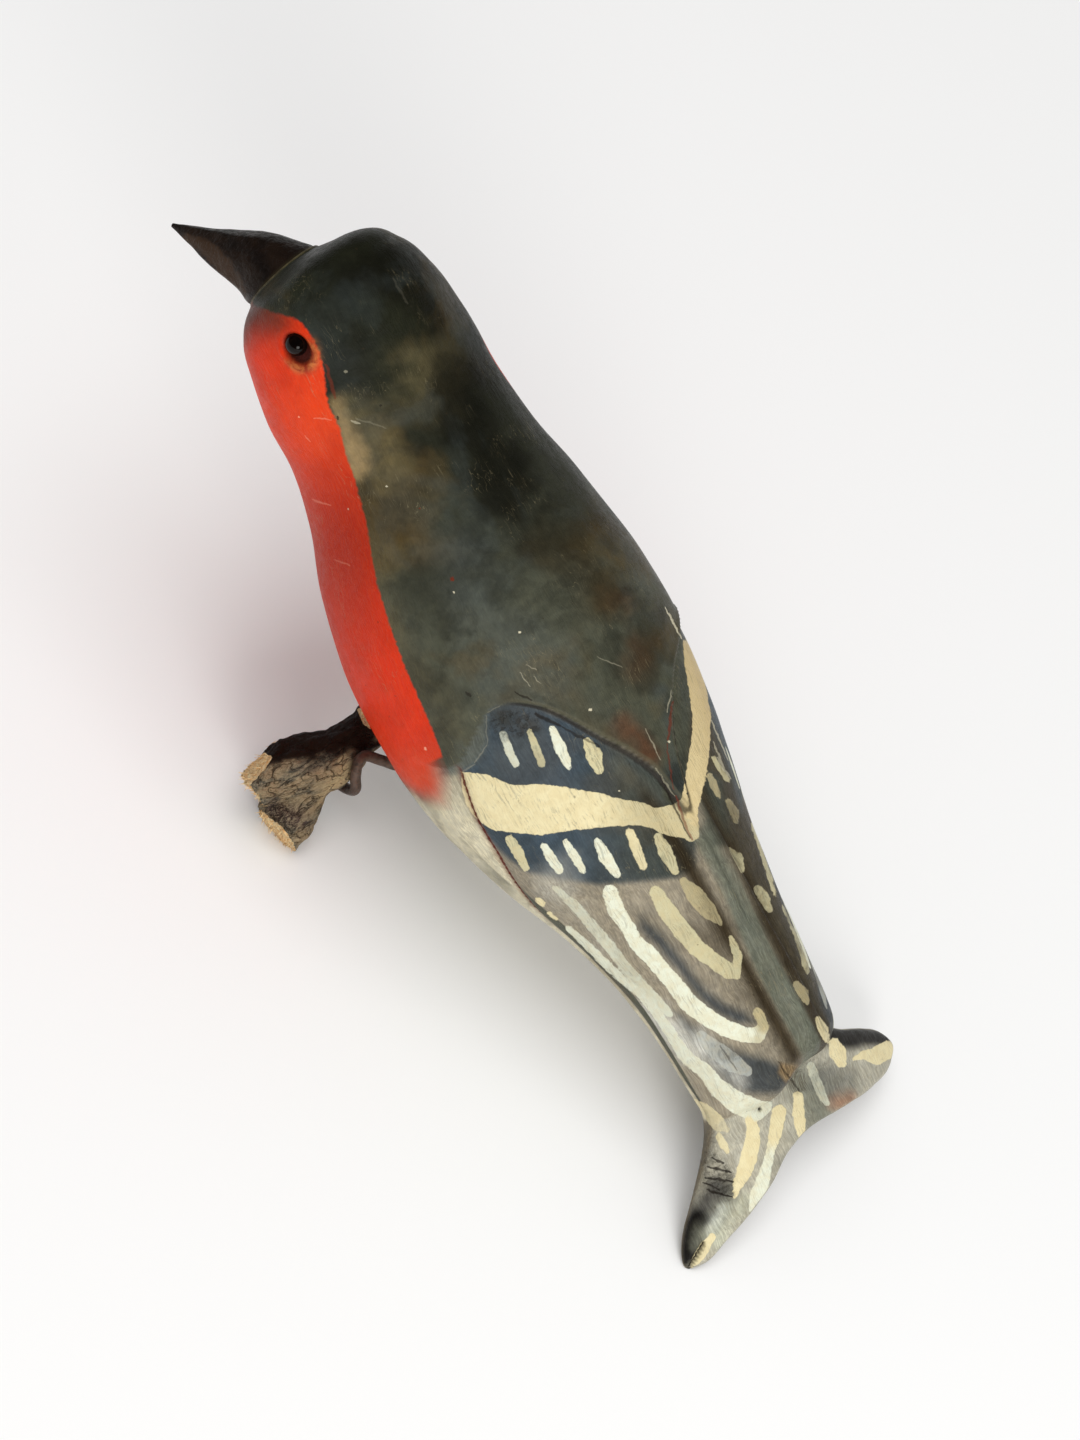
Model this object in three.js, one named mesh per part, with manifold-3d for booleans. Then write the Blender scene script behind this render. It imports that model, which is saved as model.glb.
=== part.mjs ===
// A painted, carved wooden songbird with glass eyes, standing on two bent wire legs on a piece of branch.
//
// The carving is described lying along its own axis, in millimetres: +X to the bird's left, +Y toward
// its tail and +Z toward its back, with the origin on the back where the two wings meet. At the end the
// whole bird is tipped head-up until the branch and the tail's left tip share one level floor.
import * as THREE from "three";
import { mergeVertices } from "three/addons/utils/BufferGeometryUtils.js";
import Module from "manifold-3d";

// Driving dimensions
const TILT = 27.3; // degrees the head is raised when the bird stands
const FLOOR_CUT = 0.5; // wood worn flat where it stands
const FIT_GAP = 0.3; // clearance between two pieces
const STATION_WRIST = -60; // where the body passes into the tail
const STATION_TAIL = -86;
const STATION_BEAK = 137; // flat front facet that carries the beak
const EYE_RADIUS = 2.4;
const EYE_SET_BACK = 1.2; // how far the bead's centre lies under the skin of the head
const EYE_STATION = 123;
const LEFT_EYE_ANGLE = 64; // degrees from the crown down each cheek
const RIGHT_EYE_ANGLE = 76; // sits lower, because the head leans to the left
const TENON_RADIUS = 4.0;
const TENON_LENGTH = 4.6;
const WIRE_RADIUS = 1.2;
const LEG_SPREAD = 10;
const LEG_BACK = -31;
const MANTLE_STEP = 1.1; // how far the cape of the back stands above the wings
const RIDGE_HEIGHT = 0.9; // raised band between the folded wings
const GROOVE_DEPTH = 0.9; // line under the lower edge of each wing

// Cross sections of the body: station, centre x y z, half width, height above and below, pitch, yaw
const TORSO = [
  [-60, 0.2, 60, -17.5, 18.2, 13.0, 13.0, 0, 0],
  [-45, 0.2, 45, -17.5, 19.2, 14.5, 15.0, -3, 0],
  [-30, 0.1, 30, -19.0, 20.4, 16.5, 17.5, -9, 0],
  [-15, 0, 15, -22.0, 23.4, 20.5, 21.0, -12.5, 0],
  [0, 0, 0, -25.5, 28.0, 25.0, 25.5, -13.5, 0],
  [15, 0, -15, -29.0, 31.5, 29.0, 29.5, -11, 0],
  [30, 0, -30, -31.5, 33.0, 31.5, 32.0, -7.5, 0],
  [50, 0, -50, -33.0, 32.6, 32.0, 32.0, -3, 0],
  [70, 0, -70, -33.0, 29.4, 29.0, 28.5, 1, 0],
  [86, 0.1, -85, -32.0, 25.2, 25.0, 24.3, 3, 2],
  [100, 1.0, -98, -30.3, 23.3, 22.8, 22.9, 2, 4],
  [112, 2.1, -109.5, -29.3, 23.5, 22.4, 22.9, 0, 5],
  [121, 3.3, -119, -27.9, 22.2, 21.5, 21.9, -2, 5],
  [129, 4.6, -126.6, -27.7, 19.3, 19.1, 19.1, -7.4, 4],
  [134, 5.7, -130.6, -29.3, 15.3, 15.2, 14.8, -13, 5],
  [137, 7.0, -132.2, -33.6, 9.3, 9.3, 9.3, -16.3, 6.3],
];
// Rear edge of the fish-shaped tail: share of its half width, x, y
const TAIL_EDGE = [
  [-1, -36.9, 75.0], [-0.94, -37.0, 77.2], [-0.85, -33.4, 79.2], [-0.6, -23.0, 79.6], [-0.33, -12.6, 78.0],
  [0, 0.3, 76.0], [0.12, 3.9, 76.4], [0.22, 7.9, 77.6], [0.37, 13.5, 80.8], [0.5, 18.1, 82.8],
  [0.75, 27.1, 86.0], [0.9, 32.8, 87.8], [1, 36.5, 87.2],
];
// Tail's thickness above and below its middle surface: share of its length, height
const TAIL_TOP = [[0, 6.0], [0.12, 5.0], [0.3, 3.8], [0.6, 2.9], [1, 2.3]];
const TAIL_LOW = [[0, 13], [0.15, 11.4], [0.35, 8.0], [0.6, 5.0], [0.8, 3.5], [1, 2.6]];
const TAIL_DROOP = 9.5;
// Rear edge of the cape: degrees round the body from the back's middle line, station
const MANTLE_EDGE = [[-95, 38], [-72, 31], [-52, 31], [-34, 26], [-14, 17], [-6, 8], [0, -5], [8, 6], [20, 18], [34, 31],
  [48, 36], [60, 33], [75, 29], [95, 34]];
// Groove under each wing: station, degrees round the body
const WING_GROOVE = [[-62, 104], [-45, 110], [-25, 111], [-9, 108], [-1, 100], [8, 90], [18, 83], [28, 75]];
// Middle of the band between the wings, which drifts to the right: station, degrees
const RIDGE_MIDDLE = [[-60, -17], [-49, -13], [-32, -8], [-12, -2]];

// Centre line and radius of the beak, from its base facet to its tip: share, x, y, z, radius
const BEAK = [[0, 7.0, -132.2, -33.6, 9.1], [0.28, 8.8, -137.6, -38.4, 7.1], [0.55, 10.9, -143.1, -44.0, 4.6],
  [0.78, 12.2, -147.6, -48.2, 2.4], [1, 13.4, -151.8, -52.2, 0.5]];

// Branch: share, x, y, z, radius of the limb that lies across under the belly, and of its side growths
const LIMB = [[0, -58, -52, -94.1, 4.6], [0.2, -42, -45, -82.4, 5.2], [0.4, -20, -38.6, -74.0, 5.4], [0.55, -2, -37.2, -72.0, 5.2],
  [0.7, 14, -37.2, -72.0, 4.8], [0.78, 20, -36.8, -72.2, 5.0], [0.86, 28, -36.3, -73.3, 6.2], [0.93, 37, -38.8, -75, 6.5],
  [1, 48, -41.4, -77, 5.6]];
const PRONG = [[0, 29.5, -36.2, -75.3, 5.5], [0.35, 34.8, -33.2, -77.6, 6.1], [0.75, 40.5, -28.2, -81.0, 5.9], [1, 46, -24.4, -84.0, 4.8]];
const SPUR = [[0, 16, -37, -72.0, 3.8], [0.5, 13.6, -40.6, -70.6, 3.2], [1, 11.4, -43.6, -69.0, 1.8]];
// Slanting saw cuts that end the limb and the prong: point, outward direction
const LIMB_CUT = [[43.5, -42.6, -74], [0.29, -0.95, -0.07]];
const LIMB_END = [[47.2, -42.5, -74.5], [0.85, 0.2, -0.45]];
const PRONG_CUT = [[42.2, -28, -81], [0.93, 0.2, -0.3]];
// Left leg's wire, which the right one mirrors: distance out from the middle, then how far behind and
// above the limb's centre line it lies there
const WIRE_ROUTE = [[12.2, 8.8, 5.2], [15.6, 9.3, 4.8], [19.6, 6.0, 6.1], [23.8, 2.3, 7.6], [25.8, 2.6, 7.9], [27.0, 5.0, 6.5],
  [26.6, 7.8, 3.5], [25.2, 8.4, -1.4], [24.2, 6.2, -6.4], [23.6, 1.0, -8.3]];

const radians = THREE.MathUtils.degToRad;
const { clamp, lerp, smoothstep } = THREE.MathUtils;

/** Smooth curve through rows of [station, value, ...], with slopes from the neighbouring rows. */
function spline(rows, station) {
  const last = rows.length - 1;
  const at = clamp(station, rows[0][0], rows[last][0]);
  let i = 0;
  while (i < last - 1 && at >= rows[i + 1][0]) i += 1;
  const rise = (k, c) => (rows[k + 1][c] - rows[k][c]) / (rows[k + 1][0] - rows[k][0]);
  const slope = (k, c) => {
    if (k === 0) return rise(0, c);
    if (k === last) return rise(last - 1, c);
    const before = rows[k][0] - rows[k - 1][0];
    const after = rows[k + 1][0] - rows[k][0];
    return (rise(k - 1, c) * after + rise(k, c) * before) / (before + after);
  };
  const span = rows[i + 1][0] - rows[i][0];
  const t = (at - rows[i][0]) / span;
  const values = [];
  for (let c = 1; c < rows[0].length; c += 1) {
    values.push((2 * t ** 3 - 3 * t ** 2 + 1) * rows[i][c] + (t ** 3 - 2 * t ** 2 + t) * span * slope(i, c)
      + (3 * t ** 2 - 2 * t ** 3) * rows[i + 1][c] + (t ** 3 - t ** 2) * span * slope(i + 1, c));
  }
  return values;
}

/** Signed power that turns a circle's sine or cosine into a squarer section's. */
function squared(value, exponent) {
  return Math.sign(value) * Math.abs(value) ** (2 / exponent);
}

/** Left and back directions square to a forward direction. */
function across(forward) {
  const left = new THREE.Vector3(0, 0, 1).cross(forward).normalize();
  return { left, back: new THREE.Vector3().crossVectors(forward, left) };
}

/** Section plane of the body at a station: centre, forward, left and back directions, and half sizes. */
function sectionPlane(station) {
  const [x, y, z, width, above, below, pitch, yaw] = spline(TORSO, station);
  const forward = new THREE.Vector3(Math.tan(radians(yaw)), -1, Math.tan(radians(pitch))).normalize();
  return { centre: new THREE.Vector3(x, y, z), forward, ...across(forward), width, above, below };
}

/** Share of the full height that the folded wings keep, falling to nothing where they end over the tail. */
function wingEnd(station, share) {
  const lobe = -56.5 - 2.6 * Math.exp(-(((share - 0.38) / 0.3) ** 2)) - 1.2 * Math.exp(-(((share + 0.45) / 0.25) ** 2));
  return Math.sqrt(1 - clamp((lobe - station) / 6.5, 0, 1) ** 2);
}

/** Height of the low carving at a station and angle: cape, middle ridge and the wings' lower grooves. */
function relief(station, degrees) {
  const turned = degrees > 180 ? degrees - 360 : degrees;
  const side = Math.abs(turned);
  const behind = spline(MANTLE_EDGE, turned)[0] - station;
  const cape = MANTLE_STEP * smoothstep(-behind, -0.8, 0.8) * smoothstep(-side, -105, -80) * smoothstep(-station, -70, -35);
  const ridge = RIDGE_HEIGHT * (1 - smoothstep(Math.abs(turned - spline(RIDGE_MIDDLE, station)[0]), 3.5, 8.5))
    * smoothstep(behind, 2, 9) * smoothstep(station, -62, -54);
  const groove = GROOVE_DEPTH * (1 - smoothstep(Math.abs(side - spline(WING_GROOVE, station)[0]), 1.2, 4.5))
    * smoothstep(station, -64, -56) * smoothstep(-station, -34, -26);
  return cape + ridge - groove;
}

/** Point of the body's surface at a station and an angle round it, in degrees from the back to the left. */
function skin(station, degrees) {
  const sine = Math.sin(radians(degrees));
  const cosine = Math.cos(radians(degrees));
  const roundness = 2.15 - 0.15 * smoothstep(station, 100, 121);
  const height = relief(station, degrees);
  if (station >= STATION_WRIST) {
    const plane = sectionPlane(station);
    const share = squared(sine, roundness);
    const kept = cosine > 0 ? plane.above * Math.max(wingEnd(station, share), 6 / plane.above) : plane.below;
    return plane.centre.clone()
      .addScaledVector(plane.left, plane.width * share + height * sine)
      .addScaledVector(plane.back, kept * squared(cosine, roundness) + height * cosine);
  }
  const along = clamp((STATION_WRIST - station) / (STATION_WRIST - STATION_TAIL), 0, 1);
  const flare = smoothstep(along, 0, 1);
  const flatness = roundness + 1.25 * smoothstep(along, 0, 0.5);
  const share = squared(sine, flatness);
  const [edgeX, edgeY] = spline(TAIL_EDGE, share);
  const top = Math.max(spline(TAIL_TOP, along)[0], 13 * wingEnd(station, share));
  const low = spline(TAIL_LOW, along)[0];
  return new THREE.Vector3(
    lerp(0.2 + 18.2 * share, edgeX, flare),
    lerp(-STATION_WRIST, edgeY, along),
    -17.5 + along - TAIL_DROOP * Math.abs(share) ** 1.8 * flare + (cosine > 0 ? top : low) * squared(cosine, flatness),
  );
}

/** Closed skin over rings of points with equal counts; each end is drawn together or stitched flat. */
function loft(rings, endings) {
  const count = rings[0].length;
  const points = rings.flat();
  const faces = [];
  for (let i = 0; i + 1 < rings.length; i += 1) {
    for (let j = 0; j < count; j += 1) {
      const a = i * count + j;
      const b = i * count + ((j + 1) % count);
      faces.push(a, b + count, b, a, a + count, b + count);
    }
  }
  const last = (rings.length - 1) * count;
  for (const [start, turn] of [[0, 1], [last, -1]]) {
    const style = turn === 1 ? endings[0] : endings[1];
    const face = (a, b, c) => faces.push(...(turn === 1 ? [start + a, start + b, start + c] : [start + a, start + c, start + b]));
    if (style === "fan") {
      for (let j = 1; j + 1 < count; j += 1) face(0, j, j + 1);
    } else {
      // The slit of a flat end: each point of the upper edge meets the one straight below it
      const half = count / 2;
      const quarter = count / 4;
      for (let j = -quarter; j < quarter; j += 1) {
        const upper = [(j + count) % count, (j + 1 + count) % count];
        const lower = [half - j, half - j - 1];
        if (j > -quarter) face(upper[0], upper[1], lower[0] % count);
        if (j + 1 < quarter) face(upper[1], lower[1] % count, lower[0] % count);
      }
    }
  }
  const geometry = new THREE.BufferGeometry();
  geometry.setAttribute("position", new THREE.Float32BufferAttribute(points.flatMap((p) => [p.x, p.y, p.z]), 3));
  geometry.setIndex(faces);
  return geometry;
}

/** Ring of points round a centre in the plane of two directions. */
function ring(centre, plane, radius, count, exponent = 2) {
  return Array.from({ length: count }, (_, j) => {
    const turn = (2 * Math.PI * j) / count;
    return centre.clone()
      .addScaledVector(plane.left, radius * squared(Math.sin(turn), exponent))
      .addScaledVector(plane.back, radius * squared(Math.cos(turn), exponent));
  });
}

/** Direction of a centre line given as rows of [share, x, y, z, radius]. */
function pathDirection(rows, share, step = 0.01) {
  const before = spline(rows, Math.max(share - step, 0));
  const after = spline(rows, Math.min(share + step, 1));
  return new THREE.Vector3(after[0] - before[0], after[1] - before[1], after[2] - before[2]).normalize();
}

/** Rings along such a centre line. */
function sweepRings(rows, steps, count) {
  return Array.from({ length: steps + 1 }, (_, i) => {
    const share = i / steps;
    const [x, y, z, radius] = spline(rows, share);
    return ring(new THREE.Vector3(x, y, z), across(pathDirection(rows, share)), radius, count);
  });
}

const wasm = await Module();
wasm.setup();

/** Solid of a closed geometry, for cutting and joining. */
function toSolid(geometry) {
  const bare = geometry.clone();
  bare.deleteAttribute("normal");
  bare.deleteAttribute("uv");
  const merged = mergeVertices(bare, 1e-4);
  return new wasm.Manifold(new wasm.Mesh({
    numProp: 3,
    vertProperties: new Float32Array(merged.attributes.position.array),
    triVerts: new Uint32Array(merged.index.array),
  }));
}

/** Geometry of a solid. */
function fromSolid(solid) {
  const mesh = solid.getMesh();
  const geometry = new THREE.BufferGeometry();
  geometry.setAttribute("position", new THREE.BufferAttribute(new Float32Array(mesh.vertProperties), 3));
  geometry.setIndex(new THREE.BufferAttribute(new Uint32Array(mesh.triVerts), 1));
  return geometry;
}

/** Rod between two points, as a geometry. */
function rod(from, to, radius, sides) {
  const along = new THREE.Vector3().subVectors(to, from);
  const geometry = new THREE.CylinderGeometry(radius, radius, along.length(), sides);
  geometry.applyQuaternion(new THREE.Quaternion().setFromUnitVectors(new THREE.Vector3(0, 1, 0), along.clone().normalize()));
  return geometry.translate(...from.clone().lerp(to, 0.5).toArray());
}

const BODY_SIDES = 44;

/** Stations of the body's rings, closer together where the form turns quickly. */
function bodyStations() {
  const stretches = [[-86, -68, 6], [-68, -54, 9], [-54, 0, 11], [0, 40, 10], [40, 112, 11], [112, 136.9, 8]];
  const stations = stretches.flatMap(([from, to, steps]) => Array.from({ length: steps }, (_, i) => lerp(from, to, i / steps)));
  return [...stations, STATION_BEAK];
}

/** Head, body, folded wings and tail, carved from one block, with the socket for the beak's tenon. */
function carving() {
  const rings = bodyStations().map((station) => Array.from({ length: BODY_SIDES }, (_, j) => skin(station, (360 * j) / BODY_SIDES)));
  const front = sectionPlane(STATION_BEAK);
  const floor = front.centre.clone().addScaledVector(front.forward, -TENON_LENGTH - FIT_GAP);
  rings.push(ring(front.centre, front, TENON_RADIUS + FIT_GAP, BODY_SIDES));
  rings.push(ring(floor, front, TENON_RADIUS + FIT_GAP, BODY_SIDES));
  return loft(rings, ["slit", "fan"]);
}

/** The curved, pointed beak with the tenon that seats it in the head. */
function beak() {
  const sides = 20;
  const front = sectionPlane(STATION_BEAK);
  const base = front.centre.clone().addScaledVector(front.forward, FIT_GAP);
  const rings = [
    ring(base.clone().addScaledVector(front.forward, -TENON_LENGTH), front, TENON_RADIUS, sides),
    ring(base, front, TENON_RADIUS, sides),
    ring(base, front, BEAK[0][4], sides),
  ];
  const steps = 11;
  for (let i = 1; i <= steps; i += 1) {
    const share = i / steps;
    const [x, y, z, radius] = spline(BEAK, share);
    // The first sections still lie parallel to the facet, then they turn with the curve
    const forward = front.forward.clone().lerp(pathDirection(BEAK, share), smoothstep(share, 0, 0.35)).normalize();
    rings.push(ring(new THREE.Vector3(x, y, z), across(forward), radius, sides, 1.8));
  }
  return loft(rings, ["fan", "fan"]);
}

/** Centre of the glass bead on one side of the head. */
function eyeCentre(side) {
  const plane = sectionPlane(EYE_STATION);
  const surface = skin(EYE_STATION, side === 1 ? LEFT_EYE_ANGLE : -RIGHT_EYE_ANGLE);
  return surface.addScaledVector(surface.clone().sub(plane.centre).normalize(), -EYE_SET_BACK);
}

function bead(side, radius) {
  return new THREE.SphereGeometry(radius, 16, 10).translate(...eyeCentre(side).toArray());
}

/** Points of one leg's wire, from its hole in the belly, out along the limb and round under it. */
function wirePoints(side) {
  const points = [new THREE.Vector3(side * LEG_SPREAD, LEG_BACK, -55), new THREE.Vector3(side * LEG_SPREAD, LEG_BACK, -63.4)];
  for (const [out, behind, above] of WIRE_ROUTE) {
    const [x, y, z] = spline(LIMB, limbShare(side * out));
    points.push(new THREE.Vector3(x, y + behind, z + above));
  }
  return points;
}

/** Share along the limb at which it passes a given x. */
function limbShare(x) {
  let low = 0;
  let high = 1;
  for (let i = 0; i < 30; i += 1) {
    const middle = (low + high) / 2;
    if (spline(LIMB, middle)[0] < x) low = middle;
    else high = middle;
  }
  return (low + high) / 2;
}

function wireLeg(side) {
  const sides = 8;
  const section = new THREE.Shape(Array.from({ length: sides }, (_, j) => {
    const turn = (2 * Math.PI * j) / sides;
    return new THREE.Vector2(WIRE_RADIUS * Math.cos(turn), WIRE_RADIUS * Math.sin(turn));
  }));
  const path = new THREE.CatmullRomCurve3(wirePoints(side), false, "centripetal");
  const geometry = new THREE.ExtrudeGeometry(section, { steps: 30, extrudePath: path, bevelEnabled: false });
  return fromSolid(toSolid(geometry));
}

/** Large block whose near face passes through a point and looks against an outward direction. */
function beyond([point, outward]) {
  const size = 60;
  const direction = new THREE.Vector3(...outward).normalize();
  const block = new THREE.BoxGeometry(size, size, size).translate(0, 0, size / 2);
  block.applyQuaternion(new THREE.Quaternion().setFromUnitVectors(new THREE.Vector3(0, 0, 1), direction));
  return toSolid(block.translate(...point));
}

/** Branch with its lower prong and the small spur that presses on the belly. */
function branch() {
  const limb = toSolid(loft(sweepRings(LIMB, 22, 14), ["fan", "fan"])).subtract(beyond(LIMB_CUT)).subtract(beyond(LIMB_END));
  const prong = toSolid(loft(sweepRings(PRONG, 6, 12), ["fan", "fan"])).subtract(beyond(PRONG_CUT));
  const spur = toSolid(loft(sweepRings(SPUR, 4, 10), ["fan", "fan"]));
  return limb.add(prong).add(spur);
}

/** Tips the lying bird head-up about its left-right axis. */
const stand = new THREE.Matrix4().makeRotationX(radians(-TILT));

/** Lowest point of a geometry once the bird stands. */
function lowest(geometry) {
  const box = new THREE.Box3().setFromBufferAttribute(geometry.clone().applyMatrix4(stand).attributes.position);
  return box.min.z;
}

const woodGeometry = carving();
const branchSolid = branch();
const floorLevel = Math.max(lowest(woodGeometry), lowest(fromSolid(branchSolid))) + FLOOR_CUT;

/** Half space under the floor, in the lying frame, for trimming what stands on it. */
function belowFloor() {
  const slab = new THREE.BoxGeometry(400, 400, 60).translate(0, 0, floorLevel - 30);
  return toSolid(slab.applyMatrix4(stand.clone().invert()));
}

const floorSlab = belowFloor();
let body = toSolid(woodGeometry).subtract(floorSlab);
for (const side of [1, -1]) {
  const hole = rod(new THREE.Vector3(side * LEG_SPREAD, LEG_BACK, -54.5), new THREE.Vector3(side * LEG_SPREAD, LEG_BACK, -80), WIRE_RADIUS + FIT_GAP + 0.1, 10);
  body = body.subtract(toSolid(hole)).subtract(toSolid(bead(side, EYE_RADIUS + FIT_GAP)));
}

const paint = new THREE.MeshStandardMaterial({ name: "painted_wood", color: 0x3b4038, roughness: 0.5 });
const beakPaint = new THREE.MeshStandardMaterial({ name: "beak_paint", color: 0x2a211c, roughness: 0.4 });
const glass = new THREE.MeshStandardMaterial({ name: "eye_glass", color: 0x0c0a09, roughness: 0.08 });
const wire = new THREE.MeshStandardMaterial({ name: "leg_wire", color: 0x55463e, roughness: 0.45, metalness: 0.8 });
const bark = new THREE.MeshStandardMaterial({ name: "bark", color: 0x4a3d31, roughness: 0.9 });

const pieces = [
  ["bird_body", fromSolid(body), paint],
  ["beak", beak(), beakPaint],
  ["left_eye", bead(1, EYE_RADIUS), glass],
  ["right_eye", bead(-1, EYE_RADIUS), glass],
  ["left_leg", wireLeg(1), wire],
  ["right_leg", wireLeg(-1), wire],
  ["branch", fromSolid(branchSolid.subtract(floorSlab)), bark],
];

const bird = new THREE.Group();
const whole = new THREE.Box3();
for (const [name, geometry, material] of pieces) {
  const shape = geometry.applyMatrix4(stand).toNonIndexed();
  shape.computeVertexNormals();
  const mesh = new THREE.Mesh(shape, material);
  mesh.name = name;
  bird.add(mesh);
  whole.expandByObject(mesh);
}

// The origin is the middle of the standing bird's box, on the floor
const middle = whole.getCenter(new THREE.Vector3());
for (const mesh of bird.children) mesh.position.set(-middle.x, -middle.y, -floorLevel);

export default bird;
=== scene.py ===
"""Scene of a painted, carved wooden songbird that stands on two wire legs on a piece of branch.

The carving is described lying along its own axis, in millimetres: +X to its left, +Y toward its tail and
+Z toward its back, with the origin on the back where the two wings meet. Stance then tips it head-up and
sets it on the floor, in metres. A station is a distance along the body, from the tail (minus) to the beak.
"""
import logging
import math
from dataclasses import dataclass, field
from enum import Enum

import bmesh
import bpy
import numpy as np
from mathutils import Matrix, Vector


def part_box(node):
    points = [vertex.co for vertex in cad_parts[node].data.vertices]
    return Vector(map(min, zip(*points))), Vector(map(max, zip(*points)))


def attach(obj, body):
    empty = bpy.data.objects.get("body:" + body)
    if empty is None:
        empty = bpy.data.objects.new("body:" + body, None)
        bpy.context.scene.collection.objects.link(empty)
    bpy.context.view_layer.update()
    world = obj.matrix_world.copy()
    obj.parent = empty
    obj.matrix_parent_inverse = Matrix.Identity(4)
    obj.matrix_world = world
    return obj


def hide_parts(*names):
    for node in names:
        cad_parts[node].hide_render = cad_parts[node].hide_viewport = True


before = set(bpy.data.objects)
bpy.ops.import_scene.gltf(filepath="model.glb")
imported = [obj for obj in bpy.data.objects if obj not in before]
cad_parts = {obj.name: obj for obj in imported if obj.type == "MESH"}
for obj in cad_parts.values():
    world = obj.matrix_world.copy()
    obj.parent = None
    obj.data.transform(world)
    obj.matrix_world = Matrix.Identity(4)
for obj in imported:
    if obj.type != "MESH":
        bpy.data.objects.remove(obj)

LOG = logging.getLogger("carved_bird")
MM = 0.001
Array = np.ndarray
Rows = tuple[tuple[float, ...], ...]
Colour = tuple[float, float, float]
Faces = list[tuple[int, ...]]
Material = bpy.types.Material
Piece = bpy.types.Object
Tree = bpy.types.NodeTree


# Small helpers


def ramp(low: float, high: float, value: Array) -> Array:
    """Smooth step from 0 at low to 1 at high."""
    t = np.clip((np.asarray(value, float) - low) / (high - low), 0.0, 1.0)
    return t * t * (3.0 - 2.0 * t)


def bell(value: Array, width: float) -> Array:
    """Soft hump of height 1 round zero."""
    return np.exp(-((np.asarray(value, float) / width) ** 2))


def unit(vectors: Array) -> Array:
    """Vectors drawn to length 1."""
    return vectors / np.maximum(np.linalg.norm(vectors, axis=-1, keepdims=True), 1e-12)


def spline(rows: Rows, station: Array) -> Array:
    """Smooth curve through rows of (station, value, ...).

    Args:
        rows: Knots in rising order of station.
        station: Where the curve is read, any shape.

    Returns:
        Values with one more axis than station.
    """
    knots = np.asarray(rows, float)
    at, value = knots[:, 0], knots[:, 1:]
    rise = np.diff(value, axis=0) / np.diff(at)[:, None]
    slope = np.empty_like(value)
    slope[0], slope[-1] = rise[0], rise[-1]
    before, after = np.diff(at)[:-1, None], np.diff(at)[1:, None]
    slope[1:-1] = (rise[:-1] * after + rise[1:] * before) / (before + after)
    where = np.clip(np.asarray(station, float), at[0], at[-1])
    i = np.clip(np.searchsorted(at, where, side="right") - 1, 0, len(at) - 2)
    span = (at[i + 1] - at[i])[..., None]
    t = (where - at[i])[..., None] / span
    return ((2 * t**3 - 3 * t**2 + 1) * value[i] + (t**3 - 2 * t**2 + t) * span * slope[i]
            + (3 * t**2 - 2 * t**3) * value[i + 1] + (t**3 - t**2) * span * slope[i + 1])


def heading(rows: Rows, share: Array) -> Array:
    """Direction of a centre line at shares of its length."""
    step = 0.01
    ahead = spline(rows, np.minimum(share + step, 1)) - spline(rows, np.maximum(share - step, 0))
    return unit(ahead[:, :3])


def squared(value: Array, exponent: Array) -> Array:
    """Signed power that turns a circle's sine or cosine into a squarer section's."""
    return np.sign(value) * np.abs(value) ** (2.0 / exponent)


def across(forward: Array) -> tuple[Array, Array]:
    """Left and back directions square to forward directions."""
    left = unit(np.cross(np.broadcast_to((0.0, 0.0, 1.0), forward.shape), forward))
    return left, np.cross(forward, left)


def tint(red: int, green: int, blue: int) -> Colour:
    """Colour of a paint chip, 0 to 255, as linear light."""
    shares = np.array([red, green, blue]) / 255.0
    linear = np.where(shares <= 0.04045, shares / 12.92, ((shares + 0.055) / 1.055) ** 2.4)
    return tuple(float(v) for v in linear)


@dataclass(frozen=True)
class Lumps:
    """Smooth seeded unevenness in space, between about -1 and 1."""

    seed: int
    cells: int = 32

    def at(self, points: Array, spacing: float, stretch: tuple[float, float, float] = (1, 1, 1)) -> Array:
        """Unevenness at points.

        Args:
            points: Places, last axis x y z.
            spacing: Distance between lumps, in the points' unit.
            stretch: How much longer the lumps are along each axis.

        Returns:
            One value for each point.
        """
        lattice = np.random.default_rng(self.seed).uniform(-1, 1, (self.cells,) * 3)
        place = np.asarray(points, float) / (spacing * np.asarray(stretch, float)) + 400.0
        cell = np.floor(place).astype(int)
        t = place - cell
        t = t * t * (3.0 - 2.0 * t)
        total = np.zeros(place.shape[:-1])
        for corner in np.ndindex(2, 2, 2):
            share = np.prod(np.where(corner, t, 1.0 - t), axis=-1)
            i, j, k = np.moveaxis((cell + corner) % self.cells, -1, 0)
            total += share * lattice[i, j, k]
        return total

    def layered(self, points: Array, spacing: float, layers: int = 3,
                stretch: tuple[float, float, float] = (1, 1, 1)) -> Array:
        """Sum of ever finer lumps, each half as high as the one before."""
        return sum(self.at(points, spacing / 2**n, stretch) / 2**n for n in range(layers))


def in_scene(name: str, data: bpy.types.ID) -> Piece:
    """New object, put in the scene."""
    item = bpy.data.objects.new(name, data)
    bpy.context.scene.collection.objects.link(item)
    return item


# Where the carving stands, and how the photograph sees it


@dataclass(frozen=True)
class Stance:
    """How the lying carving is tipped head-up and set down on the floor."""

    shift: tuple[float, float, float]
    tilt: float = 27.3

    def turn(self, directions: Array) -> Array:
        """Directions of the lying carving as they are in the room."""
        cosine, sine = math.cos(math.radians(self.tilt)), math.sin(math.radians(self.tilt))
        x, y, z = np.moveaxis(np.asarray(directions, float), -1, 0)
        return np.stack([x, y * cosine + z * sine, z * cosine - y * sine], -1)

    def place(self, points: Array) -> Array:
        """Points of the lying carving, in millimetres, as points in the room, in metres."""
        return (self.turn(points) + np.asarray(self.shift)) * MM


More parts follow.
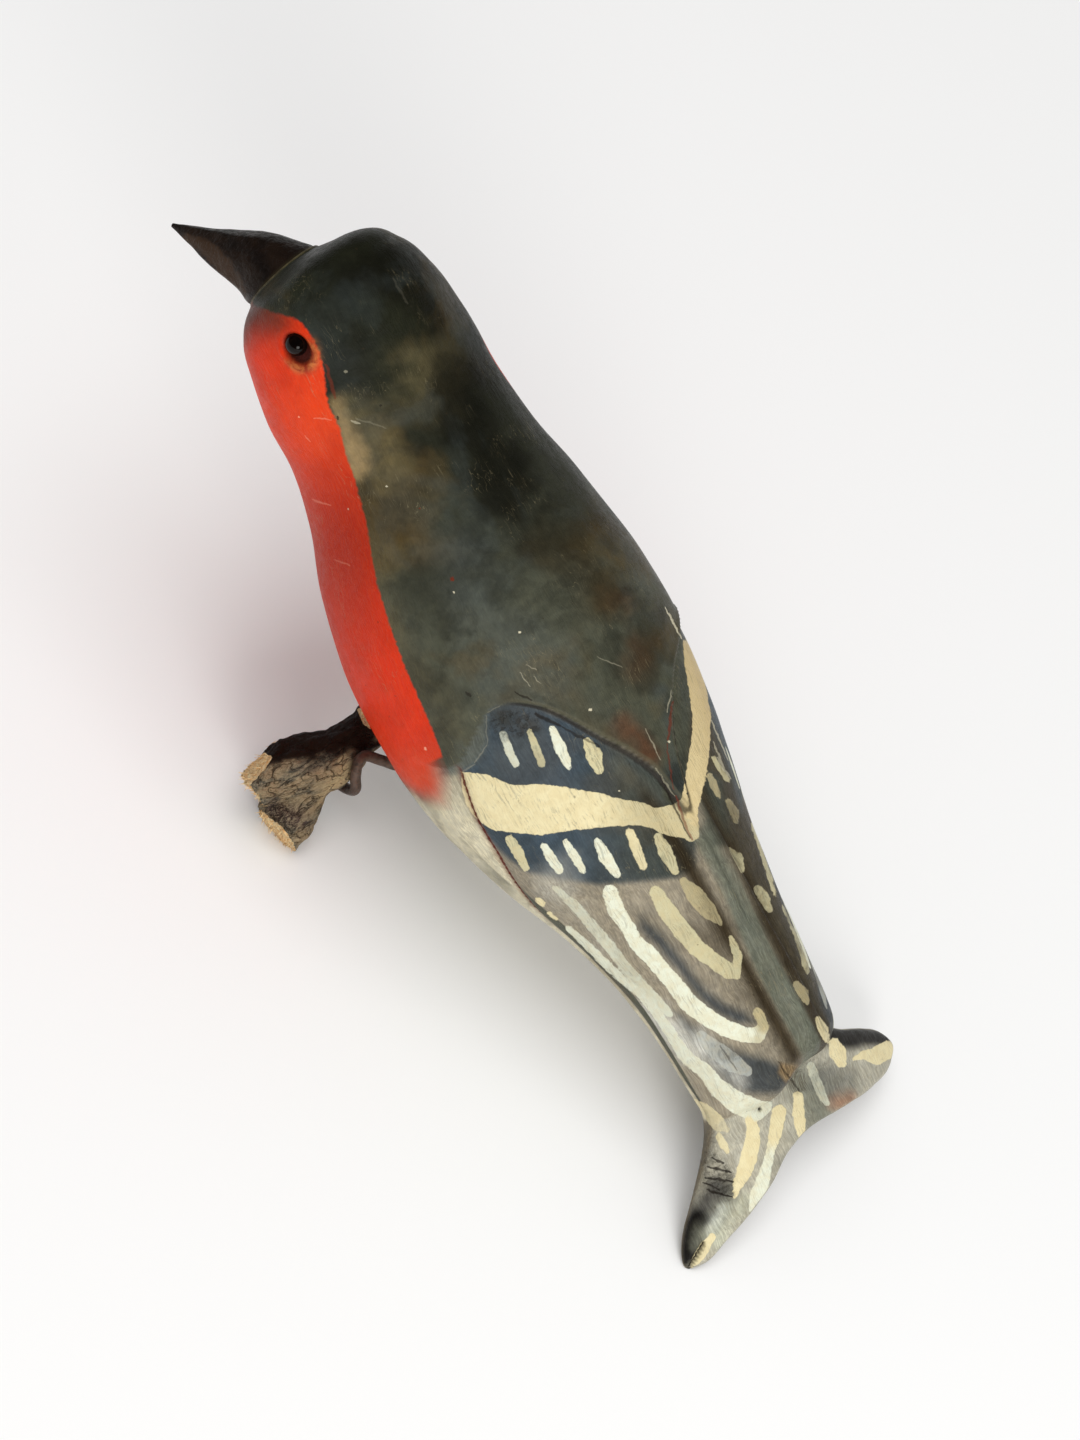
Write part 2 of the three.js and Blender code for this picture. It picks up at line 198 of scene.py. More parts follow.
@dataclass(frozen=True)
class PhotoView:
    """The photograph's viewpoint, fitted to the outline of the lying carving."""

    azimuth: float = -10.0
    roll: float = 35.0
    distance: float = 700.0
    pixel_size: float = 0.21
    look: tuple[float, float, float] = (30.2, 19.9, -20.6)
    body_axis: tuple[float, float] = (-0.455, -0.890)
    width: int = 1080
    height: int = 1440

    def directions(self) -> tuple[Array, Array, Array, Array]:
        """Viewpoint, the image's right and down directions, and the direction toward the camera."""
        turn, lean = math.radians(self.azimuth), math.radians(self.roll)
        ahead, up, left = np.array([0, -1.0, 0]), np.array([0, 0, 1.0]), np.array([1.0, 0, 0])
        facing = math.cos(lean) * up + math.sin(lean) * left
        toward = math.cos(turn) * facing - math.sin(turn) * ahead
        along = math.cos(turn) * ahead + math.sin(turn) * facing
        aside = math.cos(lean) * left - math.sin(lean) * up
        eye = self.look[0] * along + self.look[1] * aside + self.look[2] * toward + self.distance * toward
        axis = np.asarray(self.body_axis) / math.hypot(*self.body_axis)
        right = along * axis[0] + aside * axis[1]
        down = along * axis[1] - aside * axis[0]
        return eye, right, down, toward

    def project(self, points: Array) -> Array:
        """Photo pixels at which points of the lying carving show."""
        eye, right, down, toward = self.directions()
        offset = points - eye
        depth = -(offset @ toward)
        focal = self.distance / self.pixel_size
        return np.stack([self.width / 2 + focal * (offset @ right) / depth,
                         self.height / 2 + focal * (offset @ down) / depth], -1)

    def facing(self, points: Array, normals: Array) -> Array:
        """How squarely a surface faces the camera, from -1 to 1."""
        return (unit(self.directions()[0] - points) * normals).sum(-1)

    def camera(self, stance: Stance) -> Piece:
        """Camera of the scene at this viewpoint."""
        sensor = 24.0
        data = bpy.data.cameras.new("photo_camera")
        data.sensor_fit = "VERTICAL"
        data.sensor_height = sensor
        data.lens = sensor * self.distance / self.pixel_size / self.height
        data.clip_start = 0.01
        eye, right, down, toward = self.directions()
        turned = stance.turn(np.stack([right, -down, toward]))
        matrix = np.eye(4)
        matrix[:3, :3] = turned.T
        matrix[:3, 3] = stance.place(eye)
        camera = in_scene("photo_camera", data)
        camera.matrix_world = Matrix(matrix.tolist())
        bpy.context.scene.camera = camera
        return camera


# The carving's form


@dataclass(frozen=True)
class CarvedForm:
    """Head, body, folded wings and tail as one carved form, lying along its own axis, in millimetres.

    Rows of torso hold: station, centre x y z, half width, height above and below, pitch and yaw.
    """

    torso: Rows = (
        (-60, 0.2, 60, -17.5, 18.2, 13.0, 13.0, 0, 0), (-45, 0.2, 45, -17.5, 19.2, 14.5, 15.0, -3, 0),
        (-30, 0.1, 30, -19.0, 20.4, 16.5, 17.5, -9, 0), (-15, 0, 15, -22.0, 23.4, 20.5, 21.0, -12.5, 0),
        (0, 0, 0, -25.5, 28.0, 25.0, 25.5, -13.5, 0), (15, 0, -15, -29.0, 31.5, 29.0, 29.5, -11, 0),
        (30, 0, -30, -31.5, 33.0, 31.5, 32.0, -7.5, 0), (50, 0, -50, -33.0, 32.6, 32.0, 32.0, -3, 0),
        (70, 0, -70, -33.0, 29.4, 29.0, 28.5, 1, 0), (86, 0.1, -85, -32.0, 25.2, 25.0, 24.3, 3, 2),
        (100, 1.0, -98, -30.3, 23.3, 22.8, 22.9, 2, 4), (112, 2.1, -109.5, -29.3, 23.5, 22.4, 22.9, 0, 5),
        (121, 3.3, -119, -27.9, 22.2, 21.5, 21.9, -2, 5),
        (129, 4.6, -126.6, -27.7, 19.3, 19.1, 19.1, -7.4, 4),
        (134, 5.7, -130.6, -29.3, 15.3, 15.2, 14.8, -13, 5),
        (137, 7.0, -132.2, -33.6, 9.3, 9.3, 9.3, -16.3, 6.3),
    )
    # Rear edge of the fish-shaped tail: share of its half width, x, y
    tail_edge: Rows = (
        (-1, -36.9, 75.0), (-0.94, -37.0, 77.2), (-0.85, -33.4, 79.2), (-0.6, -23.0, 79.6),
        (-0.33, -12.6, 78.0), (0, 0.3, 76.0), (0.12, 3.9, 76.4), (0.22, 7.9, 77.6), (0.37, 13.5, 80.8),
        (0.5, 18.1, 82.8), (0.75, 27.1, 86.0), (0.9, 32.8, 87.8), (1, 36.5, 87.2),
    )
    # Tail's thickness above and below its middle surface: share of its length, height
    tail_top: Rows = ((0, 6.0), (0.12, 5.0), (0.3, 3.8), (0.6, 2.9), (1, 2.3))
    tail_low: Rows = ((0, 13), (0.15, 11.4), (0.35, 8.0), (0.6, 5.0), (0.8, 3.5), (1, 2.6))
    tail_droop: float = 9.5
    tail_edge_round: float = 1.6
    wrist: float = -60.0
    tail_end: float = -86.0
    beak_facet: float = 137.0
    # Rear edge of the cape: degrees round the body from the back's middle line, station
    cape_edge: Rows = (
        (-95, 38), (-72, 31), (-52, 31), (-34, 26), (-14, 17), (-6, 8), (0, -5), (8, 6), (20, 18), (34, 31),
        (48, 36), (60, 33), (75, 29), (95, 34),
    )
    cape_step: float = 1.1
    cape_lip: float = 0.4
    # Groove under each wing: station, degrees round the body
    wing_groove: Rows = (
        (-62, 104), (-45, 110), (-25, 111), (-9, 108), (-1, 100), (8, 90), (18, 83), (28, 75),
    )
    groove_depth: float = 0.9
    # Middle of the band between the wings: station, degrees round the body
    ridge_middle: Rows = ((-68, -19), (-60, -17), (-49, -13), (-32, -8), (-12, -2), (0, 0))
    ridge_height: float = 0.9
    ridge_half: float = 2.4
    valley_depth: float = 0.8
    eye_station: float = 123.0
    torn_from: float = 38.0
    left_eye_angle: float = 64.0
    right_eye_angle: float = 76.0
    eye_radius: float = 2.4
    eye_set_back: float = 1.2

    def plane(self, station: Array) -> tuple[Array, Array, Array, Array, Array]:
        """Section planes of the body.

        Args:
            station: Stations, any shape.

        Returns:
            Centres, forward, left and back directions, and the three half sizes.
        """
        row = spline(self.torso, station)
        pitch, yaw = np.radians(row[..., 6]), np.radians(row[..., 7])
        forward = unit(np.stack([np.tan(yaw), -np.ones_like(yaw), np.tan(pitch)], -1))
        left, back = across(forward)
        return row[..., :3], forward, left, back, row[..., 3:6]

    def girth_radius(self, station: Array) -> Array:
        """Mean radius of the section, which turns degrees round the body into millimetres."""
        row = spline(self.torso, np.maximum(station, self.wrist))
        return (row[..., 3] * 2 + row[..., 4] + row[..., 5]) / 4

    def unroll(self, station: Array, degrees: Array) -> Array:
        """Flat map of the skin: millimetres along the body and round it."""
        return np.stack([station, np.radians(degrees) * self.girth_radius(station)], -1)

    def wing_end(self, station: Array, share: Array) -> Array:
        """Share of the full height that the folded wings keep, falling to nothing where they end."""
        lobe = -56.5 - 2.6 * bell(share - 0.38, 0.3) - 1.2 * bell(share + 0.45, 0.25)
        return np.sqrt(1 - np.clip((lobe - station) / 6.5, 0, 1) ** 2)

    def cape_across(self, station: Array, degrees: Array) -> Array:
        """Distance from the cape's rear edge, positive toward the tail."""
        behind = spline(self.cape_edge, degrees)[..., 0] - station
        step = 0.5
        ahead, before = (spline(self.cape_edge, degrees + part)[..., 0] for part in (step, -step))
        slope = (ahead - before) / (2 * step)
        per_mm = slope / np.maximum(np.radians(1) * self.girth_radius(station), 1e-6)
        return behind / np.sqrt(1 + per_mm**2)

    def ridge_across(self, station: Array, degrees: Array) -> Array:
        """Distance from the middle of the band between the wings, positive to the left."""
        return np.radians(degrees - spline(self.ridge_middle, station)[..., 0]) * self.girth_radius(station)

    def groove_across(self, station: Array, degrees: Array) -> Array:
        """Distance from the groove under a wing, positive toward the belly."""
        middle = spline(self.wing_groove, station)[..., 0]
        return np.radians(np.abs(degrees) - middle) * self.girth_radius(station)

    def groove_reach(self, station: Array) -> Array:
        """Where the groove runs, 0 to 1."""
        return ramp(-64, -56, station) * (1 - ramp(26, 30, station))

    def ridge_reach(self, station: Array, degrees: Array) -> Array:
        """Where the band between the wings stands up, 0 to 1."""
        return ramp(1, 7, self.cape_across(station, degrees)) * ramp(-63, -57, station)

    def relief(self, station: Array, degrees: Array) -> Array:
        """Height of the low carving: cape with its lip, ridge with its valley, and the wings' grooves."""
        side = np.abs(degrees)
        behind = self.cape_across(station, degrees)
        fade = (1 - ramp(80, 105, side)) * (1 - ramp(35, 70, station))
        fade = fade * (1 - 0.6 * ramp(self.torn_from, self.torn_from + 8, degrees))
        lip_fade = (1 - ramp(70, 92, side)) * (1 - 0.45 * ramp(-70, -20, -side) * ramp(0, 10, -degrees))
        cape = self.cape_step * fade * (1 - ramp(-0.55, 0.45, behind))
        lip_fade = lip_fade * (1 - ramp(self.torn_from, self.torn_from + 8, degrees))
        lip = self.cape_lip * lip_fade * (bell(behind + 0.75, 0.6) - 0.9 * bell(behind - 0.9, 0.7))
        ridge_side = self.ridge_across(station, degrees)
        reach = self.ridge_reach(station, degrees)
        outside = ramp(self.ridge_half - 0.5, self.ridge_half + 0.7, np.abs(ridge_side))
        ridge = self.ridge_height * reach * (1 - outside)
        troughs = bell(ridge_side - 4.9, 1.9) + 0.35 * bell(ridge_side + 3.6, 0.9)
        valley = self.valley_depth * reach * troughs
        line = self.groove_across(station, degrees)
        groove = self.groove_depth * self.groove_reach(station) * np.exp(-np.abs(line) / 0.75)
        return cape + lip + ridge - valley - groove

    def tail_share(self, station: Array, degrees: Array) -> Array:
        """How far out across the tail a point lies, -1 to 1."""
        along = np.clip((self.wrist - station) / (self.wrist - self.tail_end), 0, 1)
        return squared(np.sin(np.radians(degrees)), 2.15 + 1.25 * ramp(0, 0.5, along))

    def skin(self, station: Array, degrees: Array, carved: bool = True) -> Array:
        """Points of the surface.

        Args:
            station: Distance along the body.
            degrees: Turn round it, from the back's middle line to the left, -180 to 180.
            carved: Whether the low carving is on it.

        Returns:
            Points, last axis x y z.
        """
        station, degrees = np.broadcast_arrays(np.asarray(station, float), np.asarray(degrees, float))
        sine, cosine = np.sin(np.radians(degrees)), np.cos(np.radians(degrees))
        height = self.relief(station, degrees) if carved else np.zeros_like(sine)
        roundness = 2.15 - 0.15 * ramp(100, 121, station)
        centre, _, left, back, half = self.plane(station)
        share = squared(sine, roundness)
        above = half[..., 1] * np.maximum(self.wing_end(station, share), 6 / half[..., 1])
        kept = np.where(cosine > 0, above, half[..., 2])
        torso = (centre + left * (half[..., 0] * share + height * sine)[..., None]
                 + back * (kept * squared(cosine, roundness) + height * cosine)[..., None])
        along = np.clip((self.wrist - station) / (self.wrist - self.tail_end), 0, 1)
        flare = ramp(0, 1, along)
        flatness = roundness + 1.25 * ramp(0, 0.5, along)
        share = squared(sine, flatness)
        edge = spline(self.tail_edge, share)
        end = np.clip((self.tail_end + self.tail_edge_round - station) / self.tail_edge_round, 0, 1)
        rounded = 0.22 + 0.78 * np.sqrt(1 - end**2)
        top = np.maximum(spline(self.tail_top, along)[..., 0], 13 * self.wing_end(station, share))
        thick = np.where(cosine > 0, top, spline(self.tail_low, along)[..., 0]) * squared(cosine, flatness)
        tail = np.stack([
            (0.2 + 18.2 * share) * (1 - flare) + edge[..., 0] * flare + height * sine * (1 - flare),
            -self.wrist * (1 - along) + edge[..., 1] * along,
            -17.5 + along - self.tail_droop * np.abs(share) ** 1.8 * flare + thick * rounded
            + height * cosine * (1 - flare),
        ], -1)
        return np.where((station < self.wrist)[..., None], tail, torso)

    def even_degrees(self, station: Array, columns: int) -> Array:
        """Turns round each section that are evenly spaced along its skin, within each quarter.

        Args:
            station: One station for each row.
            columns: Points in a row, a multiple of four.

        Returns:
            Degrees from 0 to 360 for each row and column.
        """
        steps = 120
        share = np.linspace(0, 1, steps + 1)
        eased = share**2 / (share**2 + (1 - share) ** 2)
        fine = np.concatenate([90 * (quarter + eased[:-1]) for quarter in range(4)] + [[360.0]])
        turned = np.where(fine > 180, fine - 360, fine)
        points = self.skin(station[:, None], turned[None, :], carved=False)
        gaps = np.linalg.norm(np.diff(points, axis=1), axis=-1)
        result = np.empty((len(station), columns))
        even = np.arange(columns // 4) / (columns // 4)
        for quarter in range(4):
            part = gaps[:, quarter * steps:(quarter + 1) * steps]
            length = np.concatenate([np.zeros((len(station), 1)), np.cumsum(part, axis=1)], axis=1)
            angles = fine[quarter * steps:(quarter + 1) * steps + 1]
            for row in range(len(station)):
                result[row, quarter * len(even):(quarter + 1) * len(even)] = np.interp(
                    even * length[row, -1], length[row], angles)
        return result

    def eye_centre(self, side: int) -> Array:
        """Centre of the glass bead on one side of the head."""
        station = np.array(self.eye_station)
        surface = self.skin(station, np.array(self.left_eye_angle if side > 0 else -self.right_eye_angle))
        return surface - self.eye_set_back * unit(surface - self.plane(station)[0])


# The paint on it


def line_depth(at: Array, line: Rows) -> Array:
    """Depth inside a brush stroke.

    Args:
        at: Places on a flat map.
        line: Rows of x, y and half width along the stroke's middle.

    Returns:
        Half width less the distance from the middle line, positive inside.
    """
    rows = np.asarray(line, float)
    best = np.full(at.shape[:-1], -1e9)
    for start, stop in zip(rows[:-1], rows[1:]):
        step = stop[:2] - start[:2]
        share = np.clip(((at - start[:2]) @ step) / max(float(step @ step), 1e-9), 0, 1)
        gap = np.linalg.norm(at - start[:2] - share[..., None] * step, axis=-1)
        best = np.maximum(best, start[2] + (stop[2] - start[2]) * share - gap)
    return best


def outline_depth(at: Array, outline: Rows) -> Array:
    """Depth inside a closed outline, positive inside."""
    corners = np.asarray(outline, float)
    nearest = np.full(at.shape[:-1], 1e9)
    inside = np.zeros(at.shape[:-1], bool)
    for start, stop in zip(corners, np.roll(corners, -1, axis=0)):
        step = stop - start
        share = np.clip(((at - start) @ step) / max(float(step @ step), 1e-9), 0, 1)
        nearest = np.minimum(nearest, np.linalg.norm(at - start - share[..., None] * step, axis=-1))
        if abs(step[1]) > 1e-9:
            between = (start[1] > at[..., 1]) != (stop[1] > at[..., 1])
            inside ^= between & (at[..., 0] < start[0] + step[0] * (at[..., 1] - start[1]) / step[1])
    return np.where(inside, nearest, -nearest)


class Paint(Enum):
    """Paints on the carving, as they have aged; a few also serve as painted light and shade where the
    patches put them.
    """

    DARK_SLATE_GREEN = tint(38, 40, 28)
    CROWN_BLACK = tint(22, 22, 15)
    BLUE_SLATE = tint(58, 68, 72)
    GREY_SLATE = tint(89, 94, 88)
    OLIVE_TAN = tint(116, 106, 74)
    WORN_TAN = tint(170, 144, 98)
    WARM_BROWN = tint(74, 60, 32)
    RED_BROWN = tint(96, 60, 38)
    CAPE_GREY = tint(77, 79, 66)
    SLATE_FIELD = tint(64, 79, 91)
    SLATE_DARK = tint(66, 70, 62)
    WING_MAUVE = tint(148, 140, 123)
    WING_BLUE = tint(52, 60, 66)
    WING_PALE = tint(204, 204, 196)
    RIDGE_BLUE = tint(102, 107, 95)
    VALLEY_BROWN = tint(56, 46, 30)
    RIGHT_WING = tint(52, 46, 32)
    TAIL_GREY = tint(178, 175, 160)
    # Near-black and dark grey of the tail; also used as painted shade on the tail's left outer edge.
    TAIL_BLACK = tint(18, 15, 13)
    TAIL_DUSK = tint(66, 66, 65)
    TAIL_OLIVE = tint(186, 189, 168)
    BELLY = tint(206, 200, 176)
    UNDERSIDE = tint(104, 94, 76)
    END_GRAIN = tint(142, 122, 92)
    RUST = tint(168, 112, 78)
    CREAM = tint(229, 217, 174)
    OCHRE = tint(196, 166, 110)
    IVORY = tint(226, 229, 208)
    STRAW = tint(206, 199, 160)
    TAN = tint(178, 167, 130)
    FADED = tint(214, 217, 196)
    # Pale haze; also used as painted highlight on the tail's dark edge.
    HAZE = tint(190, 194, 186)
    VERMILION = tint(218, 46, 6)
    CHEEK_RED = tint(240, 74, 26)
    DEEP_RED = tint(142, 26, 2)
    # Dark red by the eye: partly grime, partly painted shade round the socket.
    GRIMY_RED = tint(84, 44, 28)
    REAR_RED = tint(196, 84, 48)


@dataclass(frozen=True)
class Stroke:
    """One brush stroke: its middle line with half widths, its paint and how well that still covers."""

    line: Rows
    paint: Paint = Paint.CREAM
    cover: float = 1.0


@dataclass(frozen=True)
class Dab:
    """Soft patch of another colour in the ground coat; a few are painted sheen, highlight or shade."""

    line: Rows
    soft: float
    paint: Paint
    cover: float = 1.0


@dataclass(frozen=True)
class LeftWingPattern:
    """Cream pattern of the left wing, measured in photo pixels."""

    band: Rows = (
        (461, 771), (487, 774), (512, 785), (540, 784), (560, 786), (580, 790), (605, 794), (618, 799),
        (642, 802), (655, 808), (674, 804), (682, 800), (690, 812), (700, 826), (699, 838), (691, 842),
        (684, 838), (670, 836), (650, 828), (637, 825), (605, 827), (570, 830), (540, 835), (512, 832),
        (492, 829), (475, 817), (466, 804), (462, 788),
    )
    dashes_above: tuple[Stroke, ...] = (
        Stroke(((503, 734, 3.4), (508, 748, 4.2), (516, 764, 3.8)), Paint.IVORY, 0.8),
        Stroke(((530, 732, 3.0), (536, 748, 4.0), (542, 764, 3.8)), Paint.STRAW, 0.86),
        Stroke(((552, 729, 3.6), (560, 747, 6.2), (569, 767, 3.2)), Paint.IVORY),
        Stroke(((587, 741, 4.0), (594, 755, 8.4), (599, 770, 4.8)), Paint.STRAW),
    )
    dashes_below: tuple[Stroke, ...] = (
        Stroke(((510, 839, 4.4), (519, 853, 5.6), (526, 868, 3.4)), Paint.STRAW),
        Stroke(((544, 846, 3.8), (551, 858, 5.2), (559, 870, 4.4)), Paint.IVORY),
        Stroke(((566, 842, 3.6), (575, 856, 4.6), (583, 870, 3.6)), Paint.IVORY),
        Stroke(((597, 841, 3.6), (605, 856, 7.0), (617, 874, 4.0)), Paint.IVORY),
        Stroke(((630, 832, 4.2), (636, 848, 5.2), (643, 866, 4.2)), Paint.CREAM, 0.92),
        Stroke(((658, 837, 4.6), (666, 853, 7.2), (675, 871, 4.0)), Paint.STRAW, 0.92),
    )
    bars: tuple[Stroke, ...] = (
        Stroke(((683, 881, 4.0), (695, 895, 9.2), (708, 911, 8.0), (720, 923, 2.8)), Paint.TAN, 0.85),
        Stroke(((656, 892, 6.5), (665, 908, 9.0), (680, 928, 9.4), (697, 948, 8.6), (713, 960, 8.2),
                (728, 971, 8.0),
                (737, 976, 3.2), (738, 956, 5.0), (731, 938, 3.0)), Paint.STRAW, 0.9),
        Stroke(((610, 892, 7.6), (616, 910, 8.6), (628, 928, 7.2), (636, 943, 7.4), (650, 956, 9.0),
                (660, 968, 8.0),
                (673, 983, 8.6), (688, 1003, 9.4), (705, 1016, 9.2), (725, 1028, 8.4), (745, 1035, 8.0),
                (758, 1035, 7.4)), Paint.IVORY),
        Stroke(((757, 1036, 7.6), (764, 1026, 5.4), (758, 1012, 4.8)), Paint.TAN),
        Stroke(((555, 888, 3.0), (573, 904, 5.0), (593, 927, 5.4), (613, 951, 5.6), (633, 976, 5.4),
                (650, 993, 5.0),
                (669, 1014, 3.6)), Paint.FADED, 0.85),
        Stroke(((701, 1036, 5.0), (714, 1048, 8.5), (733, 1063, 9.5), (747, 1071, 5.0)), Paint.HAZE, 0.62),
        Stroke(((568, 928, 3.0), (585, 943, 4.0), (605, 963, 4.2), (625, 981, 4.4), (640, 993, 5.0),
                (655, 1011, 5.2),
                (670, 1033, 5.6), (685, 1056, 6.4), (705, 1071, 7.6), (718, 1088, 9.5), (738, 1103, 11.0),
                (760, 1112, 11.5), (780, 1108, 6.5)), Paint.IVORY, 0.92),
        Stroke(((538, 900, 3.0), (543, 904, 2.6)), Paint.CREAM),
        Stroke(((549, 913, 2.0), (557, 919, 1.4)), Paint.CREAM),
    )
    slate_field: Rows = (
        (487, 712), (500, 705), (515, 702), (540, 708), (575, 722), (600, 738), (650, 768), (676, 792),
        (690, 806), (695, 842), (694, 868), (676, 877), (640, 881), (600, 884), (560, 879), (528, 872),
        (508, 858), (487, 838), (470, 815), (461, 795), (462, 771), (476, 763), (487, 745),
    )
    blue_between: Rows = (
        (640, 916), (662, 934), (684, 962), (706, 990), (726, 1004), (744, 1012), (756, 1022), (738, 1024),
        (714, 1012), (694, 992), (676, 968), (656, 946), (640, 930),
    )
    lower_blue: Rows = (
        (676, 1012), (704, 1036), (738, 1052), (764, 1058), (784, 1066), (792, 1084), (780, 1094),
        (752, 1094), (730, 1086), (706, 1060), (684, 1038),
    )


@dataclass(frozen=True)
class RightWingPattern:
    """What shows of the right wing, measured in photo pixels."""

    marks: tuple[Stroke, ...] = (
        Stroke(((713, 758, 2.4), (720, 769, 2.8), (728, 781, 2.0)), Paint.STRAW, 0.8),
        Stroke(((709, 776, 3.2), (714, 786, 4.4), (719, 797, 2.0)), Paint.TAN, 0.8),
        Stroke(((728, 801, 3.0), (734, 812, 4.6), (736, 822, 2.4)), Paint.TAN, 0.7),
        Stroke(((729, 851, 3.4), (736, 858, 6.0), (741, 870, 3.4)), Paint.STRAW, 0.7),
        Stroke(((752, 824, 1.6), (760, 850, 2.2), (769, 878, 2.4), (774, 895, 1.6)), Paint.STRAW, 0.9),
        Stroke(((757, 889, 4.0), (763, 897, 5.4), (769, 910, 3.0)), Paint.STRAW, 0.7),
        Stroke(((782, 906, 1.4), (795, 935, 1.8), (805, 964, 3.4), (807, 972, 2.4)), Paint.STRAW, 0.7),
        Stroke(((797, 985, 4.0), (803, 993, 5.6), (807, 1001, 3.4)), Paint.TAN, 0.7),
        Stroke(((819, 1020, 3.6), (824, 1030, 5.2), (827, 1040, 2.8)), Paint.CREAM, 0.9),
    )


@dataclass(frozen=True)
class TailPattern:
    """Stripes and patches of the tail's upper side, measured in photo pixels."""

    stripes: tuple[Stroke, ...] = (
        Stroke(((750, 1118, 5.0), (753, 1130, 6.4), (752, 1144, 7.8), (748, 1160, 8.2), (744, 1172, 7.8),
                (738, 1184, 5.4), (735, 1197, 1.8)), Paint.CREAM),
        Stroke(((779, 1112, 7.4), (776, 1126, 7.0), (773, 1141, 6.0), (771, 1148, 4.8)), Paint.CREAM),
        Stroke(((771, 1147, 4.8), (769, 1157, 4.8), (765, 1172, 6.2), (761, 1186, 7.2), (756, 1199, 7.0),
                (751, 1210, 3.0)), Paint.IVORY),
        Stroke(((798, 1096, 5.0), (798, 1112, 5.8), (800, 1127, 5.6), (802, 1138, 3.0)), Paint.CREAM),
        Stroke(((811, 1066, 4.4), (816, 1080, 4.6), (822, 1094, 4.6), (827, 1103, 3.2)), Paint.FADED, 0.75),
        Stroke(((834, 1043, 5.0), (837, 1052, 8.4), (841, 1062, 5.4)), Paint.CREAM),
        Stroke(((853, 1059, 2.0), (862, 1055, 4.4), (876, 1056, 8.8), (887, 1050, 9.2), (893, 1052, 6.0)),
               Paint.CREAM),
        Stroke(((695, 1099, 2.0), (709, 1113, 6.4), (718, 1123, 7.6), (727, 1130, 2.8)), Paint.CREAM, 0.75),
        Stroke(((719, 1136, 3.6), (723, 1144, 4.6), (727, 1151, 2.2)), Paint.CREAM, 0.85),
        Stroke(((712, 1236, 3.4), (705, 1248, 5.4), (698, 1258, 5.4), (691, 1267, 2.0)), Paint.CREAM),
    )


@dataclass(frozen=True)
class AgeMarksAndShadeLines:
    """Scratches, cracks and chips, with painted shadow under the cape's lip, measured in photo pixels:
    start, end, half width and strength.
    """

    pale: Rows = (
        (665, 607, 681, 639, 0.9, 0.9), (669, 613, 680, 637, 0.7, 0.7), (671, 690, 667, 712, 0.8, 0.35),
        (670, 741, 670, 742, 1.7, 0.9), (646, 729, 662, 760, 0.7, 0.35), (597, 657, 622, 667, 0.6, 0.22),
        (520, 672, 530, 687, 0.7, 0.3), (526, 665, 536, 670, 0.7, 0.25), (533, 676, 541, 684, 0.6, 0.25),
        (519, 632, 520, 633, 1.4, 1.0), (453, 592, 454, 593, 1.3, 1.0), (590, 709, 591, 710, 1.7, 1.0),
        (387, 486, 388, 486, 1.3, 0.8), (619, 791, 620, 791, 1.1, 0.9), (393, 278, 408, 304, 1.3, 0.04),
        (356, 418, 386, 428, 1.0, 0.1), (344, 372, 347, 372, 1.4, 0.3), (352, 421, 360, 423, 1.5, 0.4),
        (293, 254, 294, 255, 2.0, 0.9), (656, 769, 675, 797, 0.9, 0.3), (487, 745, 474, 763, 0.9, 0.15),
        (711, 721, 728, 760, 0.9, 0.6), (713, 742, 723, 768, 0.9, 0.5), (717, 757, 730, 779, 1.0, 0.5),
        (486, 716, 487, 744, 0.8, 0.12), (500, 705, 487, 713, 0.8, 0.12), (463, 771, 474, 765, 0.9, 0.15),
    )
    # Besides dark scratches, cracks and gouge lines, these rows hold painted shadow under the cape's lip,
    # from (536, 714) to (600, 746), and painted shade in the tail tip's split.
    dark: Rows = (
        (515, 692, 532, 700, 1.0, 0.7), (466, 693, 470, 696, 1.8, 0.7), (337, 417, 338, 419, 1.6, 0.8),
        (379, 406, 381, 406, 1.4, 0.7), (659, 774, 690, 838, 1.2, 0.75), (712, 1157, 723, 1163, 1.2, 0.8),
        (708, 1167, 730, 1172, 1.3, 0.85), (705, 1177, 733, 1182, 1.3, 0.85),
        (703, 1183, 720, 1190, 1.1, 0.8), (707, 1190, 733, 1197, 1.3, 0.85),
        (704, 1243, 688, 1268, 1.0, 0.9), (536, 714, 560, 726, 2.2, 0.75), (560, 726, 600, 746, 1.4, 0.6),
        (720, 1046, 737, 1070, 1.0, 0.5), (778, 1062, 799, 1090, 1.2, 0.6),
    )
    rust: Rows = (
        (451, 578, 453, 579, 2.4, 0.9), (419, 508, 420, 508, 1.0, 0.8), (672, 702, 669, 740, 1.5, 0.6),
        (668, 744, 674, 790, 1.0, 0.5), (676, 797, 692, 840, 1.6, 0.6), (326, 365, 335, 398, 2.0, 0.55),
    )
    reds: Rows = (
        (314, 418, 332, 420, 0.9, 0.3), (304, 436, 310, 442, 0.9, 0.3), (298, 417, 299, 417, 1.2, 0.9),
        (424, 748, 426, 750, 1.3, 0.8), (312, 500, 330, 506, 1.0, 0.25), (335, 560, 350, 566, 1.0, 0.2),
    )


@dataclass(frozen=True)
class Breast:
    """Vermilion throat and breast: where its edge runs, as station and degrees round the body."""

    left_edge: Rows = (
        (22, 90), (26, 83), (30, 79), (35, 76.5), (56, 74), (73, 72), (94, 68), (100, 66.5), (106, 62),
        (111, 60.5), (114, 57.5), (118, 53.5), (122, 52.5), (126, 55), (130, 67), (134, 82), (137, 96),
    )
    right_edge: Rows = (
        (22, 94), (26, 86), (30, 83), (35, 78), (56, 70), (73, 62), (86, 56), (94, 49), (101, 48),
        (108, 57), (118, 66), (126, 68), (132, 80), (137, 96),
    )
    rear: Rows = ((60, 18), (84, 20.5), (96, 22), (111, 25), (130, 29), (150, 34), (180, 38))


# Meshes


